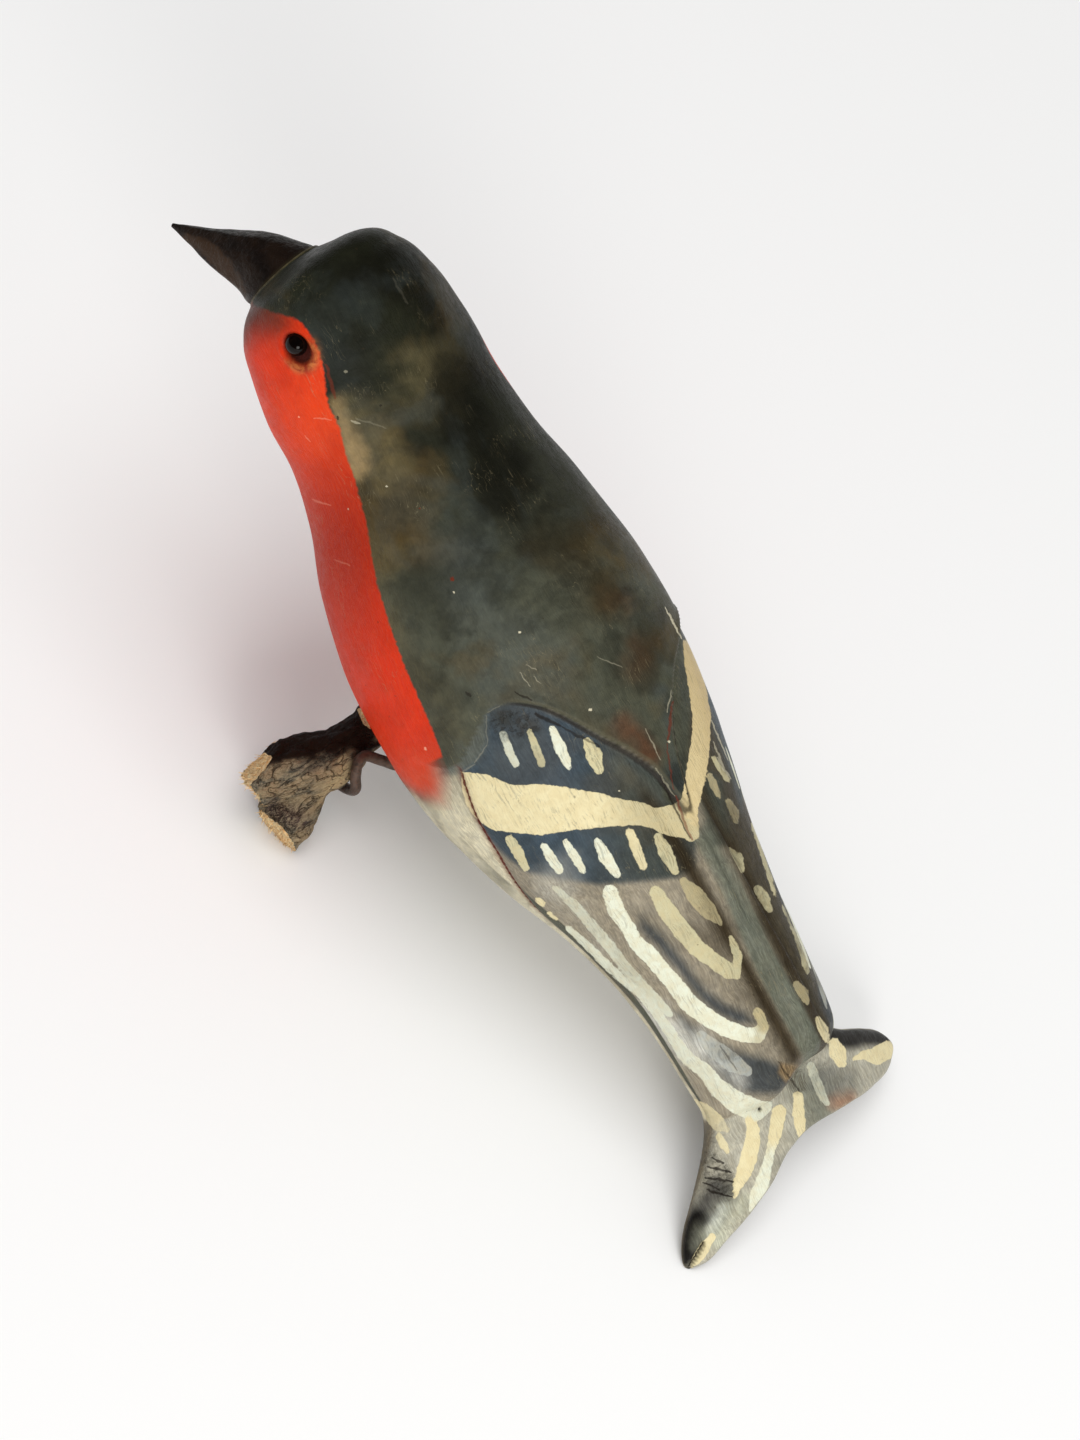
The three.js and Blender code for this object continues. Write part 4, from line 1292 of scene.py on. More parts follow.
@dataclass(frozen=True)
class Wiring:
    """Short hand for putting nodes into one tree and joining them."""

    tree: Tree

    def put(self, kind: str, inputs: dict[object, object] | None = None, **settings: object) -> Fitting:
        """Adds a node.

        Args:
            kind: Node type.
            inputs: Values or outputs for its inputs, by name or number.
            settings: The node's own settings.

        Returns:
            The node's fitting.
        """
        fitting = Fitting(self, self.tree.nodes.new(kind))
        for name, value in settings.items():
            setattr(fitting.node, name, value)
        for name, value in (inputs or {}).items():
            fitting.feed(name, value)
        return fitting

    def maths(self, operation: str, first: object, second: object = 0.0, clamp: bool = False) -> Reading:
        """Sum, product or other joining of two numbers."""
        return self.put("ShaderNodeMath", {0: first, 1: second}, operation=operation, use_clamp=clamp)[0]

    def vector(self, operation: str, *parts: object) -> Fitting:
        """Sum, product or other joining of vectors."""
        return self.put("ShaderNodeVectorMath", dict(enumerate(parts)), operation=operation)

    def span(self, value: object, low: float, high: float, start: float = 0.0,
             stop: float = 1.0) -> Reading:
        """Smooth run from start to stop while a number goes from low to high."""
        inputs = {0: value, 1: low, 2: high, 3: start, 4: stop}
        return self.put("ShaderNodeMapRange", inputs, interpolation_type="SMOOTHSTEP")[0]

    def blend(self, share: object, under: object, over: object, mode: str = "MIX") -> Reading:
        """Colour with another laid over it."""
        inputs = {0: share, 6: self.colour(under), 7: self.colour(over)}
        return self.put("ShaderNodeMix", inputs, data_type="RGBA", blend_type=mode)[2]

    @staticmethod
    def colour(value: object) -> object:
        """Socket as it is, or a colour with its fourth value."""
        if isinstance(value, Reading) or len(value) == 4:
            return value
        return (*value, 1.0)

    def noise(self, vector: object, scale: object, detail: float = 3.0, roughness: float = 0.55,
              distortion: float = 0.0) -> Reading:
        """Cloudy noise, 0 to 1."""
        inputs = {"Vector": vector, "Scale": scale, "Detail": detail, "Roughness": roughness,
                  "Distortion": distortion}
        return self.put("ShaderNodeTexNoise", inputs)["Fac"]

    def value_of(self, name: str) -> Reading:
        """Number stored on the piece's points."""
        return self.put("ShaderNodeAttribute", attribute_name=name)["Fac"]

    def colour_of(self, name: str) -> Fitting:
        """Node of a colour stored on the piece's points."""
        return self.put("ShaderNodeAttribute", attribute_name=name)

    def millimetres(self, tilt: float = 0.0, stretch: tuple[float, float, float] = (1, 1, 1)) -> Reading:
        """Object coordinates in millimetres, turned back by the tilt so that y runs along the carving."""
        place = self.put("ShaderNodeTexCoord")["Object"]
        turned = self.put("ShaderNodeMapping", {"Vector": place, "Rotation": (math.radians(tilt), 0, 0)})
        sizes = tuple(1000.0 / s for s in stretch)
        return self.put("ShaderNodeMapping", {"Vector": turned[0], "Scale": sizes})[0]


class SharedEffect(Enum):
    """Effects that more than one finish uses, each one node group."""

    MOTTLE = "mottled_paint"
    STREAKS = "brush_and_grain_streaks"
    FLECKS = "chips_and_dust_flecks"
    EDGE = "broken_paint_edge"
    MARK = "measured_scratch_or_chip"


@dataclass(frozen=True)
class EffectKit:
    """The shared node groups, built once."""

    groups: dict[SharedEffect, Tree]
    # A shift too small to see, which makes each mark wait for the one before it
    turn_taken: tuple[float, float, float] = (1e-6, 1e-6, 0.0)

    @staticmethod
    def start(effect: SharedEffect, inputs: dict[str, float | None],
              *outputs: str) -> tuple[Wiring, Fitting, Fitting]:
        """Empty group with named sockets.

        Args:
            effect: Which effect it holds.
            inputs: Starting value of each input by name, None for a vector.
            outputs: Names of the number outputs.

        Returns:
            The group's wiring, and its input and output nodes.
        """
        w = Wiring(bpy.data.node_groups.new(effect.value, "ShaderNodeTree"))
        for name, value in inputs.items():
            kind = "NodeSocketVector" if value is None else "NodeSocketFloat"
            socket = w.tree.interface.new_socket(name, in_out="INPUT", socket_type=kind)
            if value is not None:
                socket.default_value = value
        for name in outputs:
            w.tree.interface.new_socket(name, in_out="OUTPUT", socket_type="NodeSocketFloat")
        return w, w.put("NodeGroupInput"), w.put("NodeGroupOutput")

    @classmethod
    def make(cls) -> "EffectKit":
        """Builds every shared effect."""
        makers = (cls.mottle, cls.streaks, cls.flecks, cls.edge, cls.mark)
        return cls({effect: maker() for effect, maker in zip(SharedEffect, makers)})

    @classmethod
    def mottle(cls) -> Tree:
        """Uneven, thinly brushed paint: broad clouds and small blotches."""
        inputs = {"Vector": None, "Cloud Size": 9.0, "Blotch Size": 2.2}
        w, given, out = cls.start(SharedEffect.MOTTLE, inputs, "Clouds", "Blotches")
        layers = (("Cloud Size", 4, 0.3, 0.7, "Clouds"), ("Blotch Size", 5, 0.34, 0.68, "Blotches"))
        for size, detail, low, high, name in layers:
            cloud = w.noise(given["Vector"], 1.0 / given[size], detail, 0.6, 0.4)
            out.feed(name, w.span(cloud, low, high))
        return w.tree

    @classmethod
    def streaks(cls) -> Tree:
        """Fine lines along y: bristle marks in paint, or grain in wood."""
        inputs = {"Vector": None, "Width": 0.4, "Stretch": 14.0}
        w, given, out = cls.start(SharedEffect.STREAKS, inputs, "Streaks", "Scratches")
        rate = 1.0 / given["Width"]
        slow = rate / given["Stretch"]
        sizes = w.put("ShaderNodeCombineXYZ", {0: rate, 1: slow, 2: rate})[0]
        wander = w.put("ShaderNodeTexNoise", {"Vector": given["Vector"], "Scale": 0.12, "Detail": 2.0})
        bent = w.vector("MULTIPLY", wander["Color"], (3.0, 3.0, 3.0))
        place = w.vector("ADD", given["Vector"], bent[0])
        fine = w.vector("MULTIPLY", place[0], sizes)[0]
        lines = w.noise(fine, 1.0, 3.0, 0.6)
        out.feed("Streaks", w.span(lines, 0.32, 0.68))
        thin = abs(w.noise(fine, 0.45, 1.0, 0.5) - 0.5)
        rare = w.span(w.noise(given["Vector"], 0.09, 2.0), 0.52, 0.66)
        out.feed("Scratches", w.span(thin, 0.0, 0.012, 1.0, 0.0) * rare)
        return w.tree

    @classmethod
    def flecks(cls) -> Tree:
        """Small scattered chips or specks."""
        inputs = {"Vector": None, "Spacing": 6.0, "Size": 0.08}
        w, given, out = cls.start(SharedEffect.FLECKS, inputs, "Chips", "Shade")
        rate = 1.0 / given["Spacing"]
        ragged = w.put("ShaderNodeTexNoise", {"Vector": given["Vector"], "Scale": 1.4, "Detail": 2.0})
        shift = w.vector("MULTIPLY", ragged["Color"], (0.9, 0.9, 0.9))
        place = w.vector("ADD", given["Vector"], shift[0])
        cell = w.put("ShaderNodeTexVoronoi", {"Vector": place[0], "Scale": rate})
        parts = w.put("ShaderNodeSeparateColor", {0: cell["Color"]})
        size = given["Size"] * w.span(parts[0], 0.0, 1.0, 0.4, 1.5)
        shown = w.maths("GREATER_THAN", parts[2], 0.45)
        inside = w.span(cell["Distance"] / size, 0.8, 1.0, 1.0, 0.0)
        out.feed("Chips", inside * shown)
        out.feed("Shade", parts[1])
        return w.tree

    @classmethod
    def edge(cls) -> Tree:
        """Mask of a painted field from the depth inside it, with an uneven brushed edge."""
        inputs = {"Vector": None, "Depth": 0.0, "Softness": 0.15, "Wander": 0.3, "Grain Size": 0.8}
        w, given, out = cls.start(SharedEffect.EDGE, inputs, "Mask")
        rough = w.noise(given["Vector"], 1.0 / given["Grain Size"], 4.0, 0.5)
        depth = given["Depth"] + (rough - 0.5) * given["Wander"] * 2.0
        out.feed("Mask", w.span(depth, given["Softness"] * -1.0, given["Softness"]))
        return w.tree

    @classmethod
    def mark(cls) -> Tree:
        """Short straight scratch, or a chip where its ends meet, joined to the marks before it."""
        inputs = {"Vector": None, "Start": None, "Run": None, "Half Width": 1.0, "Strength": 1.0,
                  "Before": 0.0}
        w, given, out = cls.start(SharedEffect.MARK, inputs, "Mask")
        offset = w.vector("SUBTRACT", given["Vector"], given["Start"])
        run = given["Run"]
        along = w.vector("DOT_PRODUCT", offset[0], run)["Value"]
        length = w.vector("DOT_PRODUCT", run, run)["Value"]
        share = w.maths("DIVIDE", along, length, True)
        foot = w.put("ShaderNodeVectorMath", {0: run, "Scale": share}, operation="SCALE")
        away = w.vector("DISTANCE", offset[0], foot[0])["Value"]
        taper = 1.0 - abs(share - 0.5) * 0.9
        width = given["Half Width"] * taper
        inside = w.span(away / width, 0.5, 1.5, 1.0, 0.0)
        out.feed("Mask", w.maths("MAXIMUM", inside * given["Strength"], given["Before"]))
        return w.tree

    def marks(self, w: Wiring, place: Reading, rows: Rows) -> tuple[Reading, Reading]:
        """Joined mask of several measured marks, worked out one after the other."""
        whole = 0.0
        for x, y, end_x, end_y, half, strength in rows:
            run = (end_x - x, end_y - y, 0)
            mark = self.use(w, SharedEffect.MARK, place, Start=(x, y, 0), Run=run, Half_Width=half,
                            Strength=strength, Before=whole)
            whole = mark["Mask"]
            place = w.vector("MULTIPLY_ADD", whole, self.turn_taken, place)[0]
        return whole, place

    def use(self, w: Wiring, effect: SharedEffect, vector: Reading, **values: object) -> Fitting:
        """Places one shared effect in a material.

        Args:
            w: The material's wiring.
            effect: Which effect.
            vector: Where it reads.
            values: Its inputs, with underscores for spaces.

        Returns:
            Its outputs by name.
        """
        fitting = w.put("ShaderNodeGroup", node_tree=self.groups[effect])
        for name, value in {"Vector": vector, **values}.items():
            fitting.feed(name.replace("_", " "), value)
        return fitting


def blank_material(name: str) -> tuple[Material, Wiring, Fitting]:
    """Material with one Principled shader.

    Args:
        name: Its name.

    Returns:
        The material, its wiring and the shader.
    """
    material = bpy.data.materials.new(name)
    material.use_nodes = True
    material.node_tree.nodes.clear()
    w = Wiring(material.node_tree)
    shader = w.put("ShaderNodeBsdfPrincipled")
    w.put("ShaderNodeOutputMaterial", {"Surface": shader[0]})
    return material, w, shader


def raise_surface(w: Wiring, shader: Fitting, height: Reading, millimetres: float) -> None:
    """Bump on a shader from a height between 0 and 1."""
    bump = w.put("ShaderNodeBump", {"Height": height, "Distance": millimetres * MM, "Strength": 1.0})
    shader.feed("Normal", bump[0])


@dataclass(frozen=True)
class PaintedWood:
    """Aged oil paint on carved wood: slate green coat, vermilion breast, cream strokes and bare grain, with
    some painted light and shade.
    """

    kit: EffectKit
    tilt: float
    roughness: float = 0.44
    line_red: Colour = tint(92, 26, 18)
    line_dark: Colour = tint(34, 28, 22)
    grime: Colour = tint(52, 42, 28)
    chip_pale: Colour = tint(206, 198, 170)
    chip_rust: Colour = tint(170, 84, 34)
    chip_pink: Colour = tint(244, 168, 138)
    rust: Colour = tint(110, 40, 20)
    marks: AgeMarksAndShadeLines = field(default_factory=AgeMarksAndShadeLines)
    putty: Colour = tint(190, 122, 66)
    putty_dark: Colour = tint(104, 44, 28)

    def material(self) -> Material:
        """Builds the finish."""
        material, w, shader = blank_material("painted_wood")
        place = w.millimetres(self.tilt)
        mottle = self.kit.use(w, SharedEffect.MOTTLE, place, Cloud_Size=7.0, Blotch_Size=1.8)
        streaks = self.kit.use(w, SharedEffect.STREAKS, place, Width=0.34, Stretch=16.0)
        wing = w.value_of("wing_share")
        coat = w.colour_of("ground")["Color"]
        coat = self.patches(w, coat, place, wing)
        coat = w.blend(mottle["Clouds"] * 0.34, coat, (0.5, 0.48, 0.42), "MULTIPLY")
        coat = w.blend(mottle["Blotches"] * 0.4, coat, (1.5, 1.45, 1.35), "MULTIPLY")
        coat = w.blend(streaks["Streaks"] * (wing * 0.26 + 0.22), coat, (0.5, 0.47, 0.44), "MULTIPLY")
        coat = w.blend((1.0 - streaks["Streaks"]) * wing * 0.24, coat, (1.7, 1.7, 1.66), "MULTIPLY")
        red_mask = self.kit.use(w, SharedEffect.EDGE, place, Depth=w.value_of("red_depth"),
                                Softness=0.35, Wander=0.55, Grain_Size=1.1)
        red = w.colour_of("breast")["Color"]
        red = w.blend(mottle["Clouds"] * 0.4, red, tint(168, 34, 6))
        red = w.blend(streaks["Streaks"] * 0.1, red, tint(240, 104, 54))
        coat = w.blend(red_mask["Mask"] * (1.0 - w.value_of("haze") * 0.85), coat, red)
        stroke_mask = self.kit.use(w, SharedEffect.EDGE, place, Depth=w.value_of("stroke_depth"),
                                   Softness=0.12, Wander=0.42, Grain_Size=1.2)
        strokes = w.colour_of("strokes")
        aged = w.blend(mottle["Blotches"] * 0.3, strokes["Color"], tint(206, 184, 132))
        aged = w.blend(streaks["Scratches"] * 0.4, aged, tint(160, 140, 104))
        thin = w.span(mottle["Clouds"], 0.2, 1.0, 1.0, 0.55)
        worn = w.maths("MAXIMUM", w.span(strokes["Alpha"], 0.5, 1.0), thin)
        dry = w.span(streaks["Streaks"], 0.6, 0.95) * w.span(mottle["Clouds"], 0.3, 0.8, 0.05, 0.34)
        coat = w.blend(stroke_mask["Mask"] * strokes["Alpha"] * worn * (1.0 - dry), coat, aged)
        grain = w.value_of("bare_grain")
        coat = w.blend(grain * streaks["Streaks"] * 0.6, coat, tint(66, 52, 34))
        tool = w.noise(w.millimetres(self.tilt, (3.2, 1.0, 1.0)), 1.1, 3.0)
        tooled = w.value_of("tooled") * w.span(tool, 0.5, 0.62)
        coat = w.blend(tooled * 0.34, coat, tint(46, 40, 30))
        coat, line = self.lines(w, coat, place)
        coat, chips = self.wear_and_shadow_marks(w, coat, place, streaks)
        coat = self.eye_and_joint(w, coat, mottle)
        shader.feed("Base Color", coat)
        rough = mottle["Blotches"] * 0.14 + (self.roughness - 0.07)
        shader.feed("Roughness", w.maths("ADD", rough, grain * 0.3, True))
        shader.feed("Coat Weight", 0.04)
        shader.feed("Coat Roughness", 0.3)
        shader.feed("Specular IOR Level", 0.12)
        raised = streaks["Streaks"] * 0.16 + mottle["Blotches"] * 0.16 + stroke_mask["Mask"] * 0.22
        raise_surface(w, shader, raised - line * 0.8 - chips * 0.3 - tooled * 0.5, 0.4)
        return material

    def patches(self, w: Wiring, coat: Reading, place: Reading, wing: Reading) -> Reading:
        """Broad uneven patches over the back: thin brown, dull blue and near-black.

        Args:
            w: The material's wiring.
            coat: Colour so far.
            place: Where patterns read.
            wing: The wings' share, where the patches fade out.

        Returns:
            The new colour.
        """
        back = 1.0 - wing
        moved = w.vector("ADD", place, (31.0, 17.0, 5.0))[0]
        broad = self.kit.use(w, SharedEffect.MOTTLE, place, Cloud_Size=30.0, Blotch_Size=5.0)
        other = self.kit.use(w, SharedEffect.MOTTLE, moved, Cloud_Size=24.0, Blotch_Size=6.0)
        for source, low, high, share, paint in (
            (broad["Clouds"], 0.5, 0.9, 0.35, tint(88, 72, 40)),
            (other["Clouds"], 0.5, 0.9, 0.2, tint(76, 86, 86)),
            (broad["Clouds"], 0.5, 0.1, 0.4, tint(24, 25, 20)),
            (other["Blotches"], 0.5, 0.9, 0.22, tint(28, 28, 20)),
        ):
            coat = w.blend(w.span(source, low, high) * back * share, coat, paint)
        return coat

    def lines(self, w: Wiring, coat: Reading, place: Reading) -> tuple[Reading, Reading]:
        """Thin lines: dark red under the wing, the cape's pale lip and its painted shadow, and painted
        shade in the tip's split and the nail hole.

        Args:
            w: The material's wiring.
            coat: Colour so far.
            place: Where patterns read.

        Returns:
            The new colour and the mask of the cut lines.
        """
        wander = (w.noise(place, 0.5, 3.0) - 0.5) * 0.5
        groove = abs(w.value_of("groove_line") + wander)
        reach = w.value_of("groove_reach")
        coat = w.blend(w.span(groove, 0.1, 1.6, 0.5, 0.0) * reach, coat, tint(118, 66, 46))
        thin = w.span(groove, 0.16, 0.42, 1.0, 0.0) * reach
        coat = w.blend(thin * 0.9, coat, self.line_red)
        cape = w.value_of("cape_line") + wander * 0.5
        reach = w.value_of("cape_reach")
        coat = w.blend(w.span(abs(cape + 0.5), 0.1, 0.6, 0.45, 0.0) * reach, coat, tint(88, 84, 64))
        # Painted shadow under the cape's lip.
        shade = w.span(abs(cape - 0.35), 0.1, 0.6, 0.8, 0.0) * reach
        coat = w.blend(shade, coat, self.line_dark)
        # The tip's split and the nail hole are painted near-black as shade in the recess.
        cut = w.maths("MAXIMUM", w.value_of("split"), w.value_of("nail"))
        coat = w.blend(cut * 0.92, coat, self.line_dark)
        return coat, w.maths("MAXIMUM", w.maths("MAXIMUM", thin, cut), shade * 0.5)

    def wear_and_shadow_marks(self, w: Wiring, coat: Reading, place: Reading, streaks: Fitting) -> tuple[Reading, Reading]:
        """Scratches, chips and specks, and the measured dark marks, among them painted shadow under the
        cape's lip and painted shade in the tail tip's split.

        Args:
            w: The material's wiring.
            coat: Colour so far.
            place: Where patterns read.
            streaks: The bristle marks' outputs.

        Returns:
            The new colour and the mask of the chips.
        """
        coat = w.blend(streaks["Scratches"] * 0.35, coat, tint(158, 146, 112))
        chips = self.kit.use(w, SharedEffect.FLECKS, place, Spacing=11.0, Size=0.022)
        shade = w.blend(w.maths("GREATER_THAN", chips["Shade"], 0.72), self.chip_pale, self.chip_rust)
        coat = w.blend(chips["Chips"] * 0.6, coat, shade)
        specks = self.kit.use(w, SharedEffect.FLECKS, place, Spacing=3.1, Size=0.06)
        coat = w.blend(specks["Chips"] * 0.4, coat, self.grime)
        in_photo = w.colour_of("photo_place")["Vector"]
        ragged = w.put("ShaderNodeTexNoise", {"Vector": in_photo, "Scale": 0.12, "Detail": 3.0})
        bent = w.vector("MULTIPLY", ragged["Color"], (5.0, 5.0, 0.0))[0]
        bent = w.vector("SUBTRACT", bent, (2.5, 2.5, 0.0))[0]
        seen = w.vector("ADD", in_photo, bent)[0]
        shown = w.value_of("shown")
        sunk = chips["Chips"]
        marks = self.marks
        for rows, paint in ((marks.dark, self.line_dark), (marks.rust, self.rust),
                            (marks.pale, self.chip_pale), (marks.reds, self.chip_pink)):
            mask, seen = self.kit.marks(w, seen, rows)
            mask = mask * shown
            coat = w.blend(mask, coat, paint)
            if rows is marks.dark:
                sunk = w.maths("MAXIMUM", sunk, mask)
        return coat, sunk

    def eye_and_joint(self, w: Wiring, coat: Reading, mottle: Fitting) -> Reading:
        """Putty round the eyes and the beak's joint, with near-black painted shade in the sockets round the
        beads.
        """
        filler = w.blend(mottle["Blotches"], self.putty, self.putty_dark)
        coat = w.blend(w.value_of("putty") * 0.8, coat, filler)
        joint = w.blend(mottle["Blotches"], tint(92, 84, 54), tint(44, 38, 26))
        coat = w.blend(w.value_of("joint") * 0.9, coat, joint)
        # Painted shade in the socket round each bead.
        return w.blend(w.value_of("socket_shade") * 0.94, coat, tint(22, 12, 9))


@dataclass(frozen=True)
class BeakPaint:
    """Near-black paint on the beak, brown along its lower left side: partly wear, partly painted light on
    that facet.
    """

    kit: EffectKit
    tilt: float

    def material(self) -> Material:
        """Builds the finish."""
        material, w, shader = blank_material("beak_paint")
        place = w.millimetres(self.tilt)
        mottle = self.kit.use(w, SharedEffect.MOTTLE, place, Cloud_Size=5.0, Blotch_Size=1.2)
        chips = self.kit.use(w, SharedEffect.FLECKS, place, Spacing=3.4, Size=0.05)
        worn = w.span(w.value_of("worn_and_lit_side") + mottle["Blotches"] * 0.35, 0.45, 1.0)
        coat = w.blend(mottle["Clouds"] * 0.6, tint(20, 14, 11), tint(44, 31, 22))
        # Brown on the lower left side: partly wear, partly painted light.
        coat = w.blend(worn * 0.85, coat, tint(60, 43, 30))
        coat = w.blend(chips["Chips"] * 0.6, coat, tint(176, 160, 132))
        coat = w.blend(w.value_of("joint"), coat, tint(70, 62, 40))
        shader.feed("Base Color", coat)
        shader.feed("Roughness", w.span(mottle["Blotches"], 0.0, 1.0, 0.34, 0.52))
        shader.feed("Specular IOR Level", 0.13)
        raise_surface(w, shader, mottle["Blotches"] + worn * -0.5, 0.12)
        return material


@dataclass(frozen=True)
class BeadGlass:
    """Black glass of the eye beads, faintly brown where dust has dulled it."""

    kit: EffectKit

    def material(self) -> Material:
        """Builds the finish."""
        material, w, shader = blank_material("eye_glass")
        mottle = self.kit.use(w, SharedEffect.MOTTLE, w.millimetres(), Cloud_Size=1.6, Blotch_Size=0.5)
        coat = w.blend(mottle["Clouds"], tint(6, 4, 4), tint(18, 9, 6))
        shader.feed("Base Color", coat)
        shader.feed("Roughness", w.span(mottle["Blotches"], 0.3, 1.0, 0.05, 0.14))
        shader.feed("Specular IOR Level", 0.16)
        return material


@dataclass(frozen=True)
class DullWire:
    """Brown-grey, slightly rusted leg wire."""

    kit: EffectKit

    def material(self) -> Material:
        """Builds the finish."""
        material, w, shader = blank_material("leg_wire")
        place = w.millimetres()
        mottle = self.kit.use(w, SharedEffect.MOTTLE, place, Cloud_Size=3.0, Blotch_Size=0.6)
        chips = self.kit.use(w, SharedEffect.FLECKS, place, Spacing=1.6, Size=0.1)
        coat = w.blend(mottle["Clouds"], tint(96, 82, 74), tint(66, 52, 44))
        coat = w.blend(mottle["Blotches"] * 0.4, coat, tint(112, 76, 52))
        coat = w.blend(chips["Chips"] * 0.5, coat, tint(40, 30, 26))
        shader.feed("Base Color", coat)
        shader.feed("Roughness", w.span(mottle["Blotches"], 0.0, 1.0, 0.42, 0.66))
        shader.feed("Metallic", w.span(mottle["Blotches"], 0.2, 1.0, 0.6, 0.25))
        raise_surface(w, shader, mottle["Blotches"], 0.06)
        return material


@dataclass(frozen=True)
class Bark:
    """Wrinkled bark with painted light and shade: near-black where its top is in shade, grey on its lit
    underside; pale fibrous wood on the cuts.
    """

    kit: EffectKit

    def material(self) -> Material:
        """Builds the finish."""
        material, w, shader = blank_material("bark")
        place = w.millimetres()
        lengthwise = w.millimetres(0.0, (2.4, 1.0, 1.0))
        mottle = self.kit.use(w, SharedEffect.MOTTLE, place, Cloud_Size=6.0, Blotch_Size=1.1)
        wrinkle = w.noise(lengthwise, 1.5, 8.0, 0.7, 1.6)
        # Painted light and shade: grey bark on the lit underside, near-black on the shaded top.
        grey = w.span(w.value_of("underside") + mottle["Clouds"] * 0.3, 0.4, 0.95)
        broad = w.noise(lengthwise, 0.16, 4.0, 0.6, 1.2)
        under = w.blend(w.span(broad, 0.42, 0.6), tint(88, 85, 74), tint(146, 126, 96))
        coat = w.blend(grey, tint(30, 17, 8), under)
        coat = w.blend(w.value_of("mauve") * 0.85, coat, tint(74, 54, 50))
        coat = w.blend(w.value_of("weathered") * 0.75, coat, tint(206, 178, 132))
        coat = w.blend(w.span(wrinkle, 0.45, 0.62) * grey * 0.5, coat, tint(176, 158, 128))
        coat = w.blend(w.span(wrinkle, 0.34, 0.48, 1.0, 0.0) * 0.6, coat, tint(24, 15, 9))
        fold = abs(w.noise(lengthwise, 0.42, 3.0, 0.5, 1.0) - 0.5)
        crease = w.span(fold, 0.0, 0.035, 1.0, 0.0)
        coat = w.blend(crease * grey * 0.75, coat, tint(30, 20, 12))
        coat = w.blend(w.span(fold, 0.1, 0.16) * grey * 0.3, coat, tint(186, 168, 132))
        coat = w.blend(mottle["Blotches"] * 0.2, coat, tint(62, 46, 32))
        fibres = w.noise(w.millimetres(0.0, (7.0, 1.0, 1.0)), 2.2, 4.0, 0.6)
        bare = w.blend(w.span(fibres, 0.4, 0.7), tint(255, 236, 188), tint(226, 168, 98))
        bare = w.blend(mottle["Clouds"] * 0.4, bare, tint(190, 122, 62))
        split = w.span(fibres, 0.3, 0.44, 1.0, 0.0) * 0.6
        bare = w.blend(w.span(broad, 0.4, 0.52) * split, bare, tint(96, 56, 26))
        cut = w.span(w.value_of("cut") + (wrinkle - 0.5) * 0.6, 0.4, 0.6)
        coat = w.blend(cut, coat, bare)
        shader.feed("Specular IOR Level", 0.2)
        shader.feed("Base Color", coat)
        shader.feed("Roughness", w.span(mottle["Blotches"], 0.0, 1.0, 0.62, 0.86))
        raise_surface(w, shader, wrinkle + fibres * cut - crease * 0.6, 0.6)
        return material


@dataclass(frozen=True)
class FreshFibre:
    """Pale torn wood fibres."""

    kit: EffectKit

    def material(self) -> Material:
        """Builds the finish."""
        material, w, shader = blank_material("wood_fibre")
        mottle = self.kit.use(w, SharedEffect.MOTTLE, w.millimetres(), Cloud_Size=3.0, Blotch_Size=0.7)
        coat = w.blend(mottle["Blotches"], tint(255, 232, 180), tint(214, 160, 98))
        shader.feed("Base Color", coat)
        shader.feed("Roughness", w.span(mottle["Clouds"], 0.0, 1.0, 0.6, 0.8))
        return material


# Smaller pieces


@dataclass(frozen=True)
class Beak:
    """Curved, pointed beak set on the head's front facet: share, x, y, z and radius of its centre line."""

    form: CarvedForm
    stance: Stance
    view: PhotoView
    line: Rows = (
        (0, 7.0, -132.2, -33.6, 9.0), (0.28, 8.8, -137.6, -38.4, 7.1), (0.55, 10.9, -143.1, -44.0, 4.6),
        (0.78, 12.2, -147.6, -48.2, 2.4), (1, 13.4, -151.8, -52.2, 0.5),
    )
    sides: int = 72
    steps: int = 84
    facet_share: float = 0.045
    facets: int = 7
    worn: Rows = ((186, 238, 4), (206, 247, 7), (222, 264, 8), (237, 286, 6), (245, 300, 3))
    top_edge: Rows = ((174, 224, 2), (200, 230, 5), (236, 236, 4))

    def build(self, material: Material) -> Piece:
        """Beak with softly cut facets, brown along its lower left side: partly wear, partly painted light.
        """
        plane = self.form.plane(np.array(self.form.beak_facet))
        share = np.linspace(0, 1, self.steps + 1)
        row = spline(self.line, share)
        turning = ramp(0, 0.35, share)[:, None]
        forward = unit(plane[1] + (heading(self.line, share) - plane[1]) * turning)
        left, back = across(forward)
        angle = 2 * np.pi * np.arange(self.sides) / self.sides
        knife = self.facet_share * np.abs(np.sin(angle * self.facets / 2 + 0.4))
        swell = 1 - knife * ramp(0.05, 0.3, share)[:, None]
        radius = (row[:, 3:4] * (1 - 0.03 * (1 - ramp(0, 0.05, share)))[:, None]) * swell
        exponent = 2.0 - 0.3 * ramp(0.05, 0.4, share)[:, None]
        points = (row[:, None, :3] + left[:, None] * (radius * squared(np.sin(angle), exponent))[..., None]
                  + back[:, None] * (radius * squared(np.cos(angle), exponent))[..., None])
        points += grid_normals(points) * (0.09 * Lumps(21).layered(points, 3.2, 2))[..., None]
        offset = points[:1] - plane[0]
        first = plane[0] + plane[1] * 0.1 + offset - (offset @ plane[1])[..., None] * plane[1]
        points = np.concatenate([first, points])
        faces = closed_faces(len(points), self.sides)
        piece = make_piece("beak_cone", self.stance.place(points), faces, material, ("beak",))
        own = self.view.project(points)
        # Brown along the lower left edge, kept off the dark top edge: partly wear, partly painted light on
        # that facet.
        worn = ramp(-7, 5, line_depth(own, self.worn)) * (1 - ramp(-3, 2, line_depth(own, self.top_edge)))
        joint = np.broadcast_to((1 - ramp(0.0, 0.05, share))[:, None], (self.steps + 1, self.sides))
        joint = np.concatenate([joint[:1], joint])
        write_values(piece.data, {"worn_and_lit_side": worn, "joint": joint * 0.8})
        return piece


